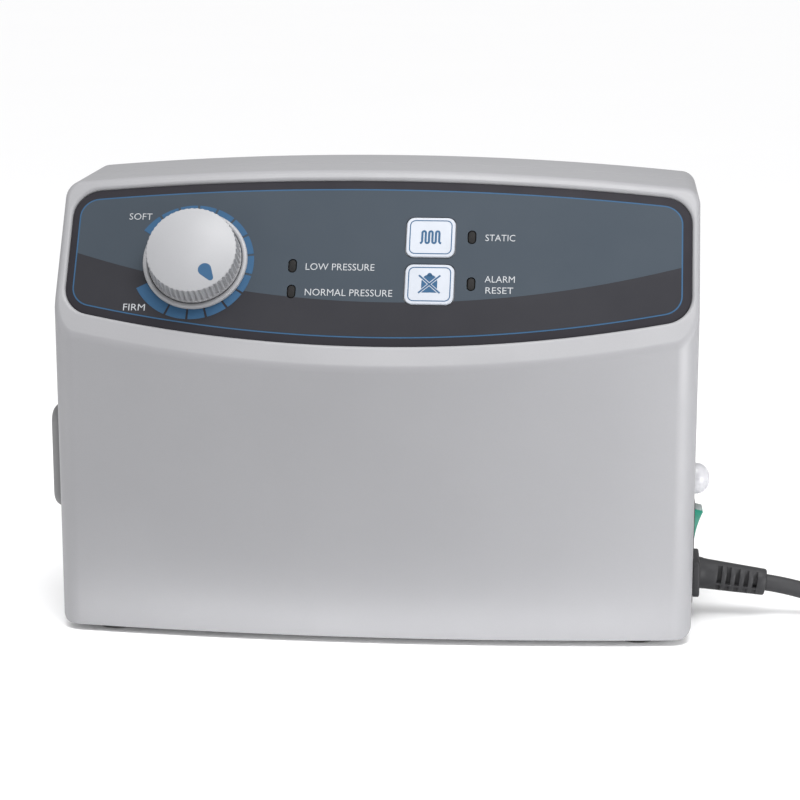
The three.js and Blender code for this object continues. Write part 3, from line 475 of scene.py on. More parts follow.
leadPoints = [tuple(reliefTip - outward * 8), tuple(reliefTip - outward * 1)]
leadPoints += [(x, leadY, z) for x, z in ((185, 13.9), (192, 12.3), (200, 10.1), (208, 7.8),
                                          (216, 5.8), (223, 4.6), (229.4, 4.1))]
leadPoints.append((243, leadY + 0.05, 3.9))
coilPoints = [coilPoint(step * lead["coilEnd"] / lead["coilSteps"])
              for step in range(lead["coilSteps"] + 1)]
tailPoints = [(280.6, 0.6, 11.6), (290.3, 3.1, 10.6), (296.1, 4.6, 9.4), (301.6, 6.1, 8.2),
              (307.0, 11.0, 7.3), (312.4, 17.2, 6.9), (316.6, 23.6, 7.2), (319.6, 30.0, 8.2),
              (321.9, 36.3, 9.4)]
path = leadPoints + coilPoints + tailPoints

clearAll()
bpy.ops.curve.primitive_nurbs_path_add()
cord = named(bpy.context.object, "powerLead")
cord.data.splines.clear()
strand = cord.data.splines.new("BEZIER")
strand.bezier_points.add(len(path) - 1)
for point, spot in zip(strand.bezier_points, path):
    point.co = Vector(spot) * mm
    point.handle_left_type = point.handle_right_type = "AUTO"
strand.resolution_u = 5
cord.data.dimensions = "3D"
cord.data.bevel_depth = lead["radius"] * mm
cord.data.bevel_resolution = 5
cord.data.use_fill_caps = True
cord.data.materials.append(finishes["jacket"])
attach(cord, "case")
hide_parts("cord_lead", "cord_coil", "cord_tail")
print("camera and power lead made")

# where the sloped panel is

filmThickness = 0.8
out = Vector(joints["knob_turn"]["axis"]).normalized()
upSlope = Vector((0, out.z, -out.y))
atPanel = middleOf("control_panel") + out * filmThickness / 2
panel = Matrix(((1, 0, 0, atPanel.x), (0, upSlope.y, out.y, atPanel.y),
                (0, upSlope.z, out.z, atPanel.z), (0, 0, 0, 1)))
tilt = math.acos(upSlope.z)

# case

case = {"crown": 1500, "bow": 1143, "topCorner": 7, "baseCorner": 5, "frontCorner": 11,
        "rearRound": 6.4, "depth": 117, "coverDepth": 36, "wall": 2.5, "bezel": 1.2, "lip": 1.5,
        "crease": 2.2, "baseEdge": 1.5, "seamGap": 0.35, "seamEdge": 0.45, "seamBand": 1.3,
        "recess": -1.1, "recessGap": 0.2}
bezel = {"half": 0, "height": 39.6, "corner": 13, "shift": 0.5, "margin": 3.5}
caseLow, caseHigh = boxOf("front_case")
sideX = caseHigh.x
frontY, baseZ, topZ = caseLow.y, caseLow.z, caseHigh.z
rearY = frontY + case["depth"]
seamY = rearY - case["coverDepth"]
bezel["half"] = sideX - bezel["margin"]
farOut = 400


def caseMass(name, inset, slopeLevel, roundRear):
    # the whole outer form, or with an inset the hollow in it
    def elevation(more):
        return bowedOutline(sideX, topZ, baseZ, case["crown"], None, case["topCorner"],
                            case["baseCorner"], inset + more)

    rings = [(frontY - 20, elevation(0)), (frontY + 5, elevation(0))]
    rear = rearY - inset
    rolled = quarter(8) if roundRear else [(1, 0)]
    rings += [(rear - roundRear * (1 - up), elevation(roundRear * more)) for up, more in rolled]
    mass = loft(name, rings, alongY)
    plan = bowedOutline(sideX, rearY + farOut, frontY, None, case["bow"], 1, case["frontCorner"],
                        inset)
    cut(mass, loft("plan", [(-farOut, plan), (farOut, plan)]), how="INTERSECT")
    cut(mass, slab("slope", (-farOut, -farOut, slopeLevel), (farOut, farOut, slopeLevel + farOut),
                   panel))
    return mass


def sloped(half, height, inset=0, bowSteps=28):
    # the bowed shape of the panel, on the slope
    return bowedOutline(half, height, -height, case["crown"] * math.cos(tilt),
                        case["bow"] * math.sin(tilt), bezel["corner"], bezel["corner"], inset,
                        bowSteps)


def panelOutline(margin):
    outline = sloped(bezel["half"] - bezel["shift"] + margin, bezel["height"] + margin)
    return [(u + bezel["shift"], v) for u, v in outline]


shell = caseMass("caseShell", 0, case["bezel"], case["rearRound"])


def onBezelEdge(spot, edge):
    return any(abs(face.normal.dot(out)) > 0.999 for face in edge.link_faces)


bevelWhere(shell, onBezelEdge, case["crease"], 5, sharper=20)
bevelWhere(shell, lambda spot, edge: spot.z < baseZ + 0.2 and spot.y < seamY, case["baseEdge"], 3)
gap = case["recessGap"]
recessRings = [(case["recess"], panelOutline(gap - 0.05)), (0, panelOutline(gap))]
recessRings += [(case["bezel"] * up, panelOutline(gap + case["lip"] * more))
                for up, more in quarter(5)[1:]]
recessRings.append((case["bezel"] + 3, panelOutline(gap + case["lip"])))
cut(shell, loft("recess", recessRings, panel))
cut(shell, caseMass("hollow", case["wall"], case["recess"] - case["wall"], 0))
print("case mass made, faces", len(shell.data.polygons))

# openings in the front case
switchAt, portAt, coverAt = (tuple(middleOf(node).yz)
                             for node in ("switch_frame", "outlet_port", "filter_cover"))
inletAt = (leadY, inletZ)
openings = {"reach": 6, "switch": (7.3, 12.3), "inlet": (14.3, 10.3), "port": 6.3,
            "slot": (14, 1.5), "slotRows": (-12, -4, 4, 12), "shaft": 5, "stem": 4, "lightGap": 0.3}


def wallHole(name, x, at, half):
    reach = openings["reach"]
    return slab(name, (x - reach, at[0] - half[0], at[1] - half[1]),
                (x + reach, at[0] + half[0], at[1] + half[1]))


wallHoles = [wallHole("switchHole", sideX, switchAt, openings["switch"]),
             wallHole("inletHole", sideX, inletAt, openings["inlet"]),
             rod("portHole", alongX, openings["port"], sideX - openings["reach"],
                 sideX + openings["reach"], portAt)]
wallHoles += [wallHole("filterSlot", -sideX, (coverAt[0], coverAt[1] + up), openings["slot"])
              for up in openings["slotRows"]]
keyBodies = {"static_button": "static_key", "alarm_reset_button": "alarm_reset_key"}
lightNames = ("low_pressure_light", "normal_pressure_light", "static_light", "alarm_light")


def onPanelPlane(node):
    # middle and half size of a node, across and up the panel
    spots = [panel.inverted() @ (vertex.co / mm) for vertex in nodes[node].data.vertices]
    low = [min(spot[i] for spot in spots) for i in range(3)]
    high = [max(spot[i] for spot in spots) for i in range(3)]
    middle = ((low[0] + high[0]) / 2, (low[1] + high[1]) / 2)
    return middle, ((high[0] - low[0]) / 2, (high[1] - low[1]) / 2)


knobSpot = onPanelPlane("pressure_knob")[0]
wallHoles.append(rod("shaftHole", panel, openings["shaft"], -20, 0, knobSpot))
for node in (*keyBodies, *lightNames):
    (across, up), half = onPanelPlane(node)
    gap = openings["lightGap"]
    u, v = (openings["stem"],) * 2 if node in keyBodies else (half[0] + gap, half[1] + gap)
    wallHoles.append(slab("panelHole", (across - u, up - v, -15), (across + u, up + v, 0), panel))
cut(shell, joinAll("wallHoles", wallHoles))

rear = named(copyOf(shell), "rearShell")
cut(shell, slab("behind", (-farOut, seamY, -farOut), (farOut, farOut, farOut)))
cut(rear, slab("before", (-farOut, -farOut, -farOut), (farOut, seamY + case["seamGap"], farOut)))


def outerSeam(level):
    def test(spot, edge):
        if abs(spot.y - level) > 0.05:
            return False
        # the crown falls away from the middle by about x * x / (2 * crown)
        crownZ = topZ - spot.x**2 / (2 * case["crown"]) - 0.1
        band = case["seamBand"]
        return abs(spot.x) > sideX - band or spot.z < baseZ + band or spot.z > crownZ - band
    return test


bevelWhere(shell, outerSeam(seamY), case["seamEdge"], 3)
bevelWhere(rear, outerSeam(seamY + case["seamGap"]), case["seamEdge"], 3)

# posts that the screws and the board stand on, inside the front case
screwNodes = [f"case_screw_{index}" for index in (1, 2, 3, 4)]
screws = {node: tuple(middleOf(node).xz) for node in screwNodes}
posts = []
for at in screws.values():
    postRings = [(seamY - 20, 5), (seamY - 0.2, 5), (seamY - 0.2, 1.9), (seamY - 17, 1.9)]
    posts.append(turned("post", postRings, at, 24, alongY))
joinAll("frontShell", [shell] + posts)
done(shell, "case", finishes["shell"], ["front_case"], 32, True)

# rear: air slots, screw wells and hook lugs
back = {"slotRows": (-18, -9, 0, 9, 18), "slotHeight": 3, "slotWidth": 72, "slotsZ": 61.5,
        "post": 5.4, "bore": 1.9, "well": 3.4, "lugRadius": 4, "lugHeight": 4, "lugWeb": 2.2}
rearCuts = []
for row in back["slotRows"]:
    height = back["slotHeight"]
    outline = roundedRect(back["slotWidth"], height, height / 2 - 0.01, (0, back["slotsZ"] + row))
    rearCuts.append(loft("slot", [(rearY - 4, outline), (rearY + 2, outline)], alongY))
wells = []
for at in screws.values():
    postRings = [(seamY + 0.5, back["post"]), (rearY - 2, back["post"]), (rearY - 2, back["bore"]),
                 (seamY + 0.5, back["bore"])]
    wells.append(turned("rearPost", postRings, at, 24, alongY, ring=True))
    rearCuts.append(rod("well", alongY, back["well"], rearY - 2.6, rearY + 2, at))
cut(rear, joinAll("rearCuts", rearCuts))
bevelWhere(rear, lambda spot, edge: abs(spot.y - rearY) < 0.02, 0.4, 2)
lugs = []
for pin in ("hook_pin_left", "hook_pin_right"):
    low, high = boxOf(pin)
    x, y = middleOf(pin).xy
    for z in (low.z, high.z - back["lugHeight"]):
        end = z + back["lugHeight"]
        lug = rod("lug", upright, back["lugRadius"], z, end, (x, y), 32)
        web = slab("web", (x - back["lugWeb"], rearY - 1, z), (x + back["lugWeb"], y, end))
        cut(lug, web, how="UNION")
        cut(lug, rod("pinHole", upright, back["bore"], z - 1, z + 6, (x, y)))
        lugs.append(softEdges(lug, 0.3))
rear = joinAll("rearShell", [rear] + wells + lugs)
done(rear, "case", finishes["shell"], ["rear_case"], 32, True)
print("case shells made")

# panel film, its printing and a sheet of painted shade

# the boundary is the curved upper edge of the painted shade on the field
printsAndShade = {"lineAt": 3.9, "lineWidth": 0.62, "layer": 0.05, "shadeBoundary": (-18.8, 1.12e-3, 5)}


def inkAndShadeLayer(piece, look="inkBlue", body="case"):
    return done(piece, body, finishes[look], smooth=0)


def fromBorder(name, inset, low, high):
    # the same bowed shape, inset from the film's edge
    outline = sloped(bezel["half"], bezel["height"], inset, 40)
    return loft(name, [(low, outline), (high, outline)], panel)


filmRings = [(-filmThickness, 0), (-0.12, 0), (-0.03, -0.04), (0, -0.13)]
film = loft("panelFilm", [(height, panelOutline(margin)) for height, margin in filmRings], panel)
filmHoles = [rod("filmShaft", panel, openings["shaft"], -3, 3, knobSpot)]
for node in (*keyBodies, *lightNames):
    at, (halfU, halfV) = onPanelPlane(node)
    gap, radius = (0.4, 3.9) if node in keyBodies else (0.3, halfU + 0.29)
    outline = roundedRect(2 * (halfU + gap), 2 * (halfV + gap), radius, at)
    filmHoles.append(loft("filmHole", [(-3, outline), (3, outline)], panel))
filmCutter = joinAll("filmHoles", filmHoles)


layer = printsAndShade["layer"]
line = fromBorder("panelLine", printsAndShade["lineAt"], -0.03, layer)
inkAndShadeLayer(cut(line, copyOf(filmCutter)))
insideLine = printsAndShade["lineAt"] + printsAndShade["lineWidth"]
field = fromBorder("panelField", insideLine, 0, 2 * layer)
cut(field, copyOf(filmCutter))
# painted shade: a darker sheet over the field below a shallow curve, for a soft reflection smudge
shadeSheet = fromBorder("panelPaintedShade", insideLine, layer, 3 * layer)
dip, curve, centre = printsAndShade["shadeBoundary"]
rise = [(u, dip + curve * (u - centre) ** 2) for u in range(-150, 151, 5)]
above = rise + [(150, 80), (-150, 80)]
cut(shadeSheet, loft("abovePaintedShade", [(-2, above), (2, above)], panel), copyOf(filmCutter))
cut(film, filmCutter)
done(film, "case", finishes["border"], ["control_panel"], 30)
inkAndShadeLayer(field, "field")
inkAndShadeLayer(shadeSheet, "paintedShade")

# ring of marks round the knob, growing from soft to firm
dial = {"inner": 22.0, "outer": 27.4, "level": 0.22, "at": (-1.2, -0.6), "gap": 2.2}
splits = [212, 233.8, 253, 271.8, 290.2, 309.7, 330.5, 351.7, 372.4, 392.3, 412, 433, 451.3,
          472.7, 512.8]
dialMarks = []
dialAt = (knobSpot[0] + dial["at"][0], knobSpot[1] + dial["at"][1])
for start, end in zip(splits, splits[1:]):
    # clockwise from the right, in degrees
    first = -math.radians(start + dial["gap"] / 2)
    last = -math.radians(end - dial["gap"] / 2)
    steps = max(3, round((end - start) / 4))
    outline = arc(*dialAt, dial["outer"], first, last, steps)
    outline += arc(*dialAt, dial["inner"], last, first, steps)
    dialMarks.append(loft("mark", [(0.12, outline), (dial["level"], outline)], panel))
inkAndShadeLayer(joinAll("dialMarks", dialMarks))


def words(name, text, at, width, height):
    clearAll()
    bpy.ops.object.text_add()
    piece = named(bpy.context.object, name)
    piece.data.body = text
    piece.data.align_x = piece.data.align_y = "CENTER"
    piece.data.extrude = 0.04
    piece.data.offset = -0.007
    piece.data.resolution_u = 3
    pick(piece)
    bpy.ops.object.convert(target="MESH")
    piece = bpy.context.object
    spots = [vertex.co.copy() for vertex in piece.data.vertices]
    low = [min(spot[i] for spot in spots) for i in range(2)]
    high = [max(spot[i] for spot in spots) for i in range(2)]
    for vertex, spot in zip(piece.data.vertices, spots):
        across = at[0] + ((spot.x - low[0]) / (high[0] - low[0]) - 0.5) * width
        up = at[1] + ((spot.y - low[1]) / (high[1] - low[1]) - 0.5) * height
        vertex.co = (panel @ Vector((across, up, 0.2 if spot.z > 0 else 0.1))) * mm
    piece.data.update()
    inkAndShadeLayer(piece, "inkWhite")


labels = {"SOFT": (-106.4, 20.8, 10.3, 3.1), "FIRM": (-105.7, -23.0, 9.6, 3.1),
          "LOW PRESSURE": (-15.7, -2.3, 30.4, 3.2), "NORMAL PRESSURE": (-11.3, -14.5, 38.5, 3.2),
          "STATIC": (54.3, 12.7, 13.1, 3.1), "ALARM": (54.7, -7.1, 13.1, 3.0),
          "RESET": (54.7, -12.4, 12.1, 3.0)}
for text, (across, up, width, height) in labels.items():
    words("label" + text.title().replace(" ", ""), text, (across, up), width, height)
print("panel printed")

# keys and lights

key = {"edge": 0.5, "corner": 3.5, "line": 1.35, "lineWidth": 0.45, "lineCorner": 2.6,
       "proud": 0.7, "print": 0.04}


def band(name, points, width, level, thick=0.06):
    # an open stroke of even width along points on the panel
    left, right = [], []
    for index, spot in enumerate(points):
        before = Vector(points[max(index - 1, 0)])
        after = Vector(points[min(index + 1, len(points) - 1)])
        along = (after - before).normalized()
        normal = Vector((-along.y, along.x))
        left.append(tuple(Vector(spot) + normal * width / 2))
        right.append(tuple(Vector(spot) - normal * width / 2))
    outline = left + right[::-1]
    return loft(name, [(level - thick, outline), (level, outline)], panel)


def keyIcon(node, across, up, level):
    if node == "static_button":
        # six uprights joined by round bends, with a foot at each end
        step, half = 1.5, 2.1
        wave = [(-4.7, -2.9), (-4.1, -2.75)]
        for index in range(6):
            x = (index - 2.5) * step
            way = 1 if index % 2 == 0 else -1
            wave += [(x, -half * way), (x, half * way)]
            if index < 5:
                bend = arc(x + step / 2, half * way, step / 2, math.pi, math.pi * (1 - way), 6)
                wave += bend[1:-1]
        wave += [(4.1, -2.75), (4.7, -2.9)]
        return [band("wave", [(across + px, up + py) for px, py in wave], 0.95, level)]
    bell = [(-4.4, -4.0), (-4.3, -3.1), (-3.5, -2.4)] + arc(0, 1.1, 3.5, math.pi, 0, 12)
    bell += [(3.5, -2.4), (4.3, -3.1), (4.4, -4.0)]
    bell = [(across + x, up + y) for x, y in bell]
    top = arc(across, up + 4.3, 1.1, -0.6, math.pi + 0.6, 8)
    icon = [loft(name, [(level - 0.06, outline), (level, outline)], panel)
            for name, outline in (("bell", bell), ("bellTop", top))]
    # two crossed bars, each with a narrow gap cut out of the bell round it
    for way in (-1, 1):
        ends = [(across - 4.9, up - way * 4.4), (across + 4.9, up + way * 4.4)]
        gapBar = band("gapBar", ends, 1.35, level + 0.26, 1.0)
        cut(icon[0], copyOf(gapBar))
        cut(icon[1], gapBar)
    for way in (-1, 1):
        ends = [(across - 4.7, up - way * 4.2), (across + 4.7, up + way * 4.2)]
        icon.append(band("crossBar", ends, 0.75, level + 0.005))
    return icon


for node, body in keyBodies.items():
    at, (halfU, halfV) = onPanelPlane(node)

    def keyOutline(inset, radius):
        return roundedRect(2 * (halfU - inset), 2 * (halfV - inset), radius, at)

    proud = key["proud"]
    cap = loft(camel(node), domed(-0.3, proud, key["edge"],
                                  lambda inset: keyOutline(inset, key["corner"] - inset)), panel)
    stem = slab("stem", (at[0] - 3, at[1] - 3, -7.4), (at[0] + 3, at[1] + 3, 0), panel)
    cut(cap, stem, how="UNION")
    done(cap, body, finishes["key"], [node], 30, True)
    outer = keyOutline(key["line"], key["lineCorner"])
    inner = keyOutline(key["line"] + key["lineWidth"], key["lineCorner"] - key["lineWidth"])
    low, high = proud - key["print"], proud + key["print"]
    border = loft("border", [(low, outer), (high, outer), (high, inner), (low, inner)], panel, True)
    inkAndShadeLayer(joinAll(camel(node) + "Print", [border] + keyIcon(node, *at, high)), body=body)

for node in lightNames:
    at, (halfU, halfV) = onPanelPlane(node)
    lens = loft(camel(node), domed(-6, -0.05, 0.4, lambda inset: roundedRect(
        2 * (halfU - inset), 2 * (halfV - inset), halfU - inset - 0.02, at)), panel)
    done(lens, "case", finishes["lens"], [node], 40)
print("keys and lights made")

# knob

knob = {"radius": 20.8, "topRadius": 19.9, "from": 0.8, "height": 12.5, "flutes": 52,
        "fluteDepth": 1.05, "bore": (3.3, 9.6), "ringFrom": 0.3}


def fluted(radius, depth):
    x, y = knobSpot
    points = []
    for flute in range(knob["flutes"]):
        for share, deep in ((0.0, 1.0), (0.22, 0.6), (0.36, 0.0), (0.64, 0.0), (0.78, 0.6)):
            angle = (flute + share) / knob["flutes"] * 2 * math.pi
            reach = radius - depth * deep
            points.append((x + reach * math.cos(angle), y + reach * math.sin(angle)))
    return points


top, wide, narrow = knob["height"], knob["radius"], knob["topRadius"]
# height, radius and depth of the flutes
knobRings = [(knob["from"], wide - 0.2, 0), (knob["from"] + 0.3, wide, 0), (2.2, wide, 0),
             (2.6, wide - 0.1, knob["fluteDepth"]), (top - 1.6, narrow + 0.3, knob["fluteDepth"]),
             (top - 0.9, narrow + 0.25, 0.6), (top - 0.4, narrow + 0.1, 0.3),
             (top - 0.12, narrow - 0.15, 0.1), (top, narrow - 0.5, 0)]
dialKnob = loft("pressureKnob", [(height, fluted(radius, depth))
                                 for height, radius, depth in knobRings], panel)
cut(dialKnob, rod("knobBore", panel, knob["bore"][0], -2, knob["bore"][1], knobSpot))
done(dialKnob, "knob", finishes["knob"], ["pressure_knob"], 24)

# pointer: a drop shape, round end inwards
drop = {"at": 11.6, "turn": -54.5, "length": 4.8, "radii": (2.95, 1.3)}
blunt, fine = drop["radii"]
lean = math.acos((blunt - fine) / drop["length"])
dropOutline = arc(0, 0, blunt, lean, 2 * math.pi - lean, 18)
dropOutline += arc(drop["length"], 0, fine, -lean, lean, 8)
dropTo = placed((*knobSpot, 0), math.radians(drop["turn"]), "Z")
pointer = [tuple((dropTo @ Vector((drop["at"] + x, y, 0))).xy) for x, y in dropOutline]
mark = loft("knobPointer", [(top - layer, pointer), (top + layer, pointer)], panel)
inkAndShadeLayer(mark, body="knob")

ringProfile = [(knob["ringFrom"], 23.3), (1.3, 23.3), (1.75, 23.15), (2.05, 22.8), (2.15, 22.3),
               (2.1, 21.7), (1.9, 21.25), (1.6, 21.1), (knob["ringFrom"], 21.1)]
ringPiece = turned("knobRing", ringProfile, knobSpot, 96, panel, ring=True)
done(ringPiece, "case", finishes["knob"], ["knob_ring"], 40)
print("knob made")

# right side: dome cap, rocker, inlet, connector

dome = {"radius": 7, "base": sideX + 0.6, "straight": 0.8, "plug": 1.9, "plugAt": 4}
domeFrom = dome["base"] + dome["straight"]
domeHeight = boxOf("port_cap")[1].x - domeFrom
domeProfile = [(dome["base"], dome["radius"]), (domeFrom, dome["radius"])]
for step in range(1, 11):
    turnBy = step / 10.6 * math.pi / 2
    domeProfile.append((domeFrom + domeHeight * math.sin(turnBy),
                        dome["radius"] * math.cos(turnBy)))
capPiece = turned("portDome", domeProfile, portAt, 40, alongX)
for way in (-1, 1):
    plugAt = (portAt[0] + way * dome["plugAt"], portAt[1])
    cut(capPiece, rod("capPlug", alongX, dome["plug"], sideX - 6, dome["base"] + 0.5, plugAt),
        how="UNION")
done(capPiece, "outlet_cap", finishes["cap"], ["port_cap"], 40)

# rocker: drawn level about its pivot, then turned to rest with its upper end out
rocker = {"half": 5.9, "turn": 12, "hollow": 1.1,
          "pivot": Vector(joints["rocker_tilt"]["pos_m"]) / mm}
sideShape = [(-8, -4), (-3, -8), (-0.5, -9.9), (5.6, -9.9), (6.1, -9.5)]
for step in range(1, 12):
    # the face is hollow, so that both ends stand out
    share = step / 12
    sideShape.append((6.1 - rocker["hollow"] * (1 - (2 * share - 1) ** 2), -9.5 + 19 * share))
sideShape += [(6.1, 9.5), (5.6, 9.9), (-0.5, 9.9), (-3, 8), (-8, 4)]
asSide = placed(rocker["pivot"], math.radians(rocker["turn"]), "Y", alongY)
half = rocker["half"]
rockerPiece = loft("powerRocker", [(-half, sideShape), (half, sideShape)], asSide)
softEdges(rockerPiece, 0.3, 3, 40)
pinEnd = half + 0.8
cut(rockerPiece, rod("rockerPins", asSide, 1.5, -pinEnd, pinEnd, (0, 0)), how="UNION")
done(rockerPiece, "rocker", finishes["green"], ["power_rocker"], 35)
# a paler moulded end on the rocker's upper face
endPiece = slab("rockerEnd", (2.4, 9.86, -5.2), (5.4, 10.0, 5.2), asSide)
softEdges(endPiece, 0.05, 2)
done(endPiece, "rocker", finishes["smokeEnd"], smooth=30)

flangeFrom = sideX + 0.3
switch = {"front": sideX + 0.9, "back": sideX - 13.5, "body": (7, 12), "bodyFrom": sideX - 18,
          "pin": 1.8}
front = switch["front"]
frameRings = [(flangeFrom, roundedRect(16.4, 26.8, 1.5, switchAt)),
              (front - 0.3, roundedRect(16.4, 26.8, 1.5, switchAt)),
              (front, roundedRect(15.6, 26.0, 1.2, switchAt))]
framePiece = loft("switchFrame", frameRings, alongX)


def housing(piece, start, at, half):
    # the body behind a flange
    block = slab("body", (start, at[0] - half[0], at[1] - half[1]),
                 (sideX + 0.8, at[0] + half[0], at[1] + half[1]))
    return cut(piece, block, how="UNION")


housing(framePiece, switch["bodyFrom"], switchAt, switch["body"])
opening = [(switch["back"], roundedRect(12.6, 22.6, 0.6, switchAt)),
           (front - 0.4, roundedRect(12.6, 22.6, 0.6, switchAt)),
           (front + 0.1, roundedRect(13.8, 23.8, 1.0, switchAt))]
pivotHole = rod("pivotHole", alongY, switch["pin"], switchAt[0] - 12, switchAt[0] + 12,
                (rocker["pivot"].x, switchAt[1]))
cut(framePiece, loft("switchOpening", opening, alongX), pivotHole)
done(framePiece, "case", finishes["black"], ["switch_frame"], 30)

inlet = {"flange": (31, 22), "thick": 1, "socket": (24.4, 16.6), "deep": 18, "body": (14, 10),
         "bodyFrom": sideX - 20.5}
flangeTo = flangeFrom + inlet["thick"]
inletPiece = loft("mainsInlet", domed(flangeFrom, flangeTo, 0.4, lambda inset: roundedRect(
    inlet["flange"][0] - 2 * inset, inlet["flange"][1] - 2 * inset, 3, inletAt)), alongX)
housing(inletPiece, inlet["bodyFrom"], inletAt, inlet["body"])
socket = roundedRect(*inlet["socket"], 2, inletAt)
cut(inletPiece, loft("socket", [(sideX - inlet["deep"], socket), (sideX + 5, socket)], alongX))
done(inletPiece, "case", finishes["black"], ["mains_inlet"], 30)

# connector: shoulder, then a ribbed strain relief with windows right through
link = {"from": flangeTo + 0.3, "to": relief["from"], "size": (25, 17), "windows": 5,
        "firstWindow": 8.0, "pitch": 4.1, "windowLength": 2.1, "near": 3.3, "far": 9}
connector = loft("mainsConnector", domed(link["from"], link["to"], 0.8, lambda inset: roundedRect(
    link["size"][0] - 2 * inset, link["size"][1] - 2 * inset, 2.5, inletAt)), alongX)
insert = roundedRect(23.6, 15.8, 1.7, inletAt)
cut(connector, loft("insert", [(sideX - 17, insert), (link["from"] + 0.6, insert)], alongX),
    how="UNION")
asRelief = placed((relief["from"], leadY, inletZ), droop, "Y", alongX)
wide, narrow = relief["radii"]
reliefProfile = [(-1.5, 7.4), (0.6, 7.3), (1.4, 7.05), (3.4, wide)]
for step in range(1, 9):
    reliefProfile.append((3.4 + (relief["length"] - 4.2) * step / 8,
                          wide + (narrow - wide) * step / 8))
reliefProfile += [(relief["length"] - 0.3, narrow - 0.15), (relief["length"], narrow - 0.6)]
reliefPiece = turned("relief", reliefProfile, (0, 0), 40, asRelief)
windows = []
for index in range(link["windows"]):
    x = link["firstWindow"] + index * link["pitch"]
    for low, high in ((-1.9, 5.7), (-5.8, -2.9)):
        for way in (-1, 1):
            near, far = sorted((way * link["near"], way * link["far"]))
            windows.append(slab("window", (near, low, x), (far, high, x + link["windowLength"]),
                                asRelief))
cut(reliefPiece, *windows)
softEdges(reliefPiece, 0.25, 2, 50)
connector = joinAll("mainsConnector", [connector, reliefPiece])
done(connector, "case", finishes["black"], ["mains_connector"], 35)
print("right side made")

# left side: air filter cover

filterCover = {"size": (42, 48), "corner": 8, "edge": 4, "crownShare": 1.1, "pocket": (32, 38),
               "slot": (22, 2.4)}
coverLow = boxOf("filter_cover")[0].x
width, height = filterCover["size"]
rings = [(-sideX - 0.3, roundedRect(width, height, filterCover["corner"], coverAt))]
for up, more in quarter(6):
    inset = filterCover["edge"] * more
    rings.append((coverLow + filterCover["edge"] * (1 - up) * filterCover["crownShare"],
                  roundedRect(width - 2 * inset, height - 2 * inset, filterCover["corner"] - inset,
                              coverAt)))
coverPiece = loft("filterCover", rings, alongX)
pocket = roundedRect(*filterCover["pocket"], 2, coverAt)
cut(coverPiece, loft("pocket", [(-sideX - 3.2, pocket), (-sideX + 2, pocket)], alongX))
grille = []
for up in openings["slotRows"]:
    outline = roundedRect(*filterCover["slot"], 1.19, (coverAt[0], coverAt[1] + up))
    grille.append(loft("grilleSlot", [(coverLow - 1, outline), (-sideX, outline)], alongX))
cut(coverPiece, joinAll("grille", grille))
bevelWhere(coverPiece, lambda spot, edge: spot.x < coverLow + 0.05, 0.3, 2)
# the cover's finish holds painted shade as well as its darker plastic
done(coverPiece, "filter_door", finishes["cover"], ["filter_cover"], 32, True)
print("filter cover made")

# hooks: a merged copy of each with soft edges; then the feet and screws

for hook in ("hook_left", "hook_right"):
    source = nodes[hook]
    piece = source.copy()
    piece.data = source.data.copy()
    for tag in list(piece.keys()):
        del piece[tag]
    bpy.context.collection.objects.link(piece)
    piece.parent = None
    pick(named(piece, camel(hook)))
    bpy.ops.object.mode_set(mode="EDIT")
    bpy.ops.mesh.select_all(action="SELECT")
    bpy.ops.mesh.remove_doubles(threshold=0.000005)
    bpy.ops.mesh.dissolve_limited(angle_limit=math.radians(1))
    bpy.ops.object.mode_set(mode="OBJECT")
    softEdges(piece, 0.8)
    done(piece, source["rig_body"], finishes["shell"], [hook], 35)
padProfile = [(0, 6.2), (0, 7.6), (0.3, 8.4), (1.0, 8.9), (2.0, 9.0), (2.7, 8.8)]
for foot in ("foot_front_left", "foot_front_right", "foot_rear_left", "foot_rear_right"):
    pad = turned(camel(foot), padProfile, tuple(middleOf(foot).xy), 40, upright)
    done(pad, "case", finishes["rubber"], [foot], 40)
for index, (node, at) in enumerate(screws.items()):
    low, high = boxOf(node)
    tip, head = low.y, high.y
    profile = [(tip, 0.4), (tip + 1.5, 1.5), (head - 2, 1.5), (head - 2, 3.0), (head - 0.8, 3.0),
               (head - 0.25, 2.5), (head, 1.6)]
    screw = turned(f"rearScrew{index + 1}", profile, at, 24, alongY)
    for halfX, halfZ in ((1.8, 0.35), (0.35, 1.8)):
        cut(screw, slab("drive", (at[0] - halfX, head - 1.1, at[1] - halfZ),
                        (at[0] + halfX, head + 1, at[1] + halfZ)))
    done(screw, "case", finishes["steel"], [node], 35)
print("hooks, feet and screws made")

# plug: finger grip waist, ribbed relief, three pins; and a tie round the coil

plug = {"at": (320, 31, 10), "turn": -20, "ribs": 6, "ribPitch": 3.8, "bladeAt": 6.35,
        "bladeUp": 2.5, "bladeHalf": (0.75, 3.15), "face": 59, "bladeEnd": 77}
asPlug = placed(plug["at"], math.radians(plug["turn"]), "Z", alongY)
bodyShape = ((24.0, 17, 14), (25.5, 20, 16.5), (29, 21.5, 17.6), (34, 22, 18), (41, 23.4, 18.8),
             (50, 25.6, 19.8), (56, 26, 20), (59, 26, 20), (59.7, 25.4, 19.4), (60, 24, 18))
bodyRings = [(along, roundedRect(width, height, 6, steps=8)) for along, width, height in bodyShape]
plugPiece = loft("mainsPlug", bodyRings, asPlug)
profile = [(0, 4.4), (0.5, 4.9)]
for rib in range(plug["ribs"]):
    base = 0.8 + rib * plug["ribPitch"]
    reach = 5.2 + rib * 0.46
    profile += [(base, reach), (base + 2.2, reach + 0.2), (base + 2.5, reach - 0.9),
                (base + 3.5, reach - 0.8)]
profile.append((24.4, 8.0))
plugPiece = joinAll("mainsPlug", [plugPiece, turned("plugRelief", profile, (0, 0), 32, asPlug)])
done(plugPiece, "case", finishes["black"], ["mains_plug"], 35)
blades = []
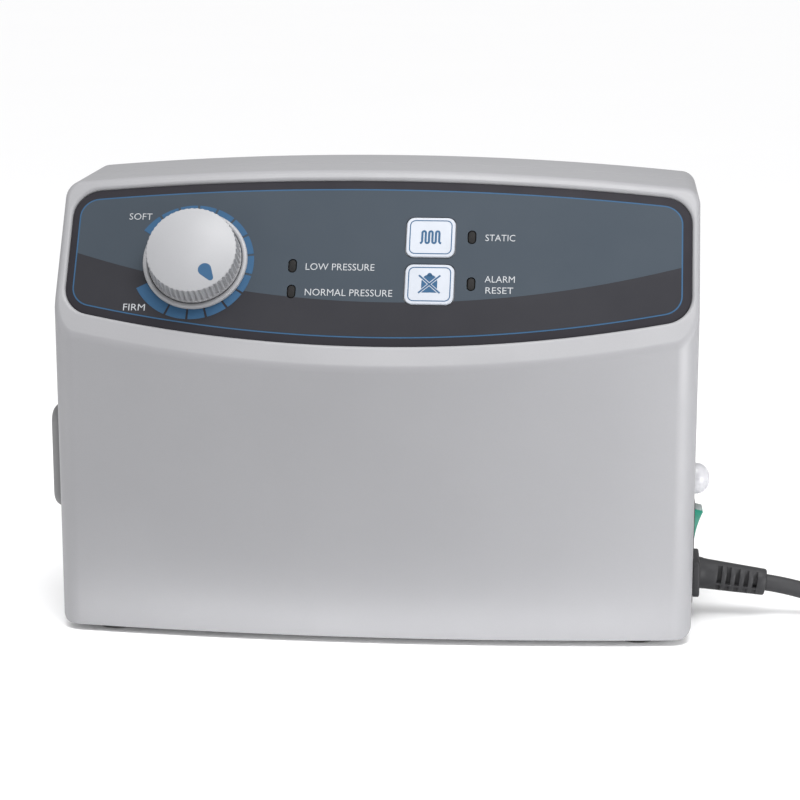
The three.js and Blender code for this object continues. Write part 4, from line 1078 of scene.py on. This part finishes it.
for way in (-1, 1):
    x, y = way * plug["bladeAt"], plug["bladeUp"]
    thick, wide = plug["bladeHalf"]
    blade = slab("blade", (x - thick, y - wide, plug["face"]),
                 (x + thick, y + wide, plug["bladeEnd"]), asPlug)
    blades.append(softEdges(blade, 0.35))
pinProfile = [(plug["face"], 2.4), (76.5, 2.4), (78.4, 1.9), (79, 1.0)]
blades.append(turned("earthPin", pinProfile, (0, -5), 24, asPlug))
done(joinAll("plugPins", blades), "case", finishes["brass"], smooth=35)

tie = {"turn": math.radians(150), "thick": 0.7, "half": 3.5, "z": 7.9, "across": 25.4,
       "corners": (3.9, 3.3)}
coilX, coilY = lead["coilAt"]
middle = lead["radii"][1]
asTie = placed((coilX + middle * math.cos(tie["turn"]), coilY + middle * math.sin(tie["turn"]),
                tie["z"]), tie["turn"], "Z", alongY)
tall = lead["pitch"] + 2 * lead["radius"] - 0.1
outer, inner = (roundedRect(tie["across"] - less, tall - less, corner, steps=8)
                for less, corner in zip((0, 2 * tie["thick"]), tie["corners"]))
low, high = -tie["half"], tie["half"]
tiePiece = loft("coilTie", [(low, outer), (high, outer), (high, inner), (low, inner)], asTie, True)
done(tiePiece, "case", finishes["black"], smooth=35)
print("plug and tie made")

# inner parts keep their CAD shape and get real finishes

inside = {"steel": ("knob_shaft", "potentiometer", "hook_pin_left", "hook_pin_right",
                    "swing_arm_left", "swing_arm_right"),
          "cast": ("compressor_base", "magnet_core", "arm_magnet_left", "arm_magnet_right",
                   "valve_motor"),
          "rubber": ("bellows_left", "bellows_right", "compressor_damper_1", "compressor_damper_2",
                     "compressor_damper_3", "compressor_damper_4"),
          "nylon": ("outlet_port", "valve_head_left", "valve_head_right", "valve_body",
                    "valve_rotor"),
          "tube": ("supply_hose", "outlet_hose_a", "outlet_hose_b"),
          "board": ("control_board",), "foam": ("filter_foam",), "copper": ("magnet_coil",)}
for look, group in inside.items():
    for node in group:
        nodes[node].data.materials.clear()
        nodes[node].data.materials.append(finishes[look])
print("inner parts finished")

# floor and light

studio = {"floorSize": 14, "world": 0.52, "sky": 1.65, "skySpread": 70}
boxes = {"keyLight": ((0.05, -0.22, 0.58), (0, -0.02, 0.17), (0.45, 0.25), 2.9),
         "rightLight": ((0.4, -0.28, 0.09), (0.06, -0.05, 0.08), (0.2, 0.2), 1.35),
         "leftLight": ((-0.4, -0.15, 0.12), (-0.1, -0.05, 0.1), (0.2, 0.2), 0.25),
         "lowLight": ((0, -0.082, 0.003), (0, -0.06, 0.012), (0.3, 0.015), 0.04)}
clearAll()
bpy.ops.mesh.primitive_plane_add(size=studio["floorSize"])
floor = named(bpy.context.object, "studioFloor")
floor.data.materials.append(finish("paleFloor", colour=(0.96, 0.96, 0.965), patch=3, grain=40,
                                   second=(0.965, 0.965, 0.97), roughness=(0.8, 0.8), bump=0,
                                   depth=0.1))
world = bpy.data.worlds.new("studio")
world.use_nodes = True
background = world.node_tree.nodes["Background"]
background.inputs["Color"].default_value = (1, 1, 1, 1)
background.inputs["Strength"].default_value = studio["world"]
bpy.context.scene.world = world
for name, (place, target, size, power) in boxes.items():
    clearAll()
    away = Vector(place) - Vector(target)
    bpy.ops.object.light_add(type="AREA", location=place,
                             rotation=away.to_track_quat("Z", "Y").to_euler())
    lamp = named(bpy.context.object, name)
    lamp.data.shape = "RECTANGLE"
    lamp.data.size, lamp.data.size_y = size
    lamp.data.energy = power
    lamp.visible_camera = False
clearAll()
bpy.ops.object.light_add(type="SUN", location=(0, 0, 3))
sky = named(bpy.context.object, "overheadLight")
sky.data.energy = studio["sky"]
sky.data.angle = math.radians(studio["skySpread"])
bpy.context.scene.view_settings.view_transform = "Standard"
print("stage set")
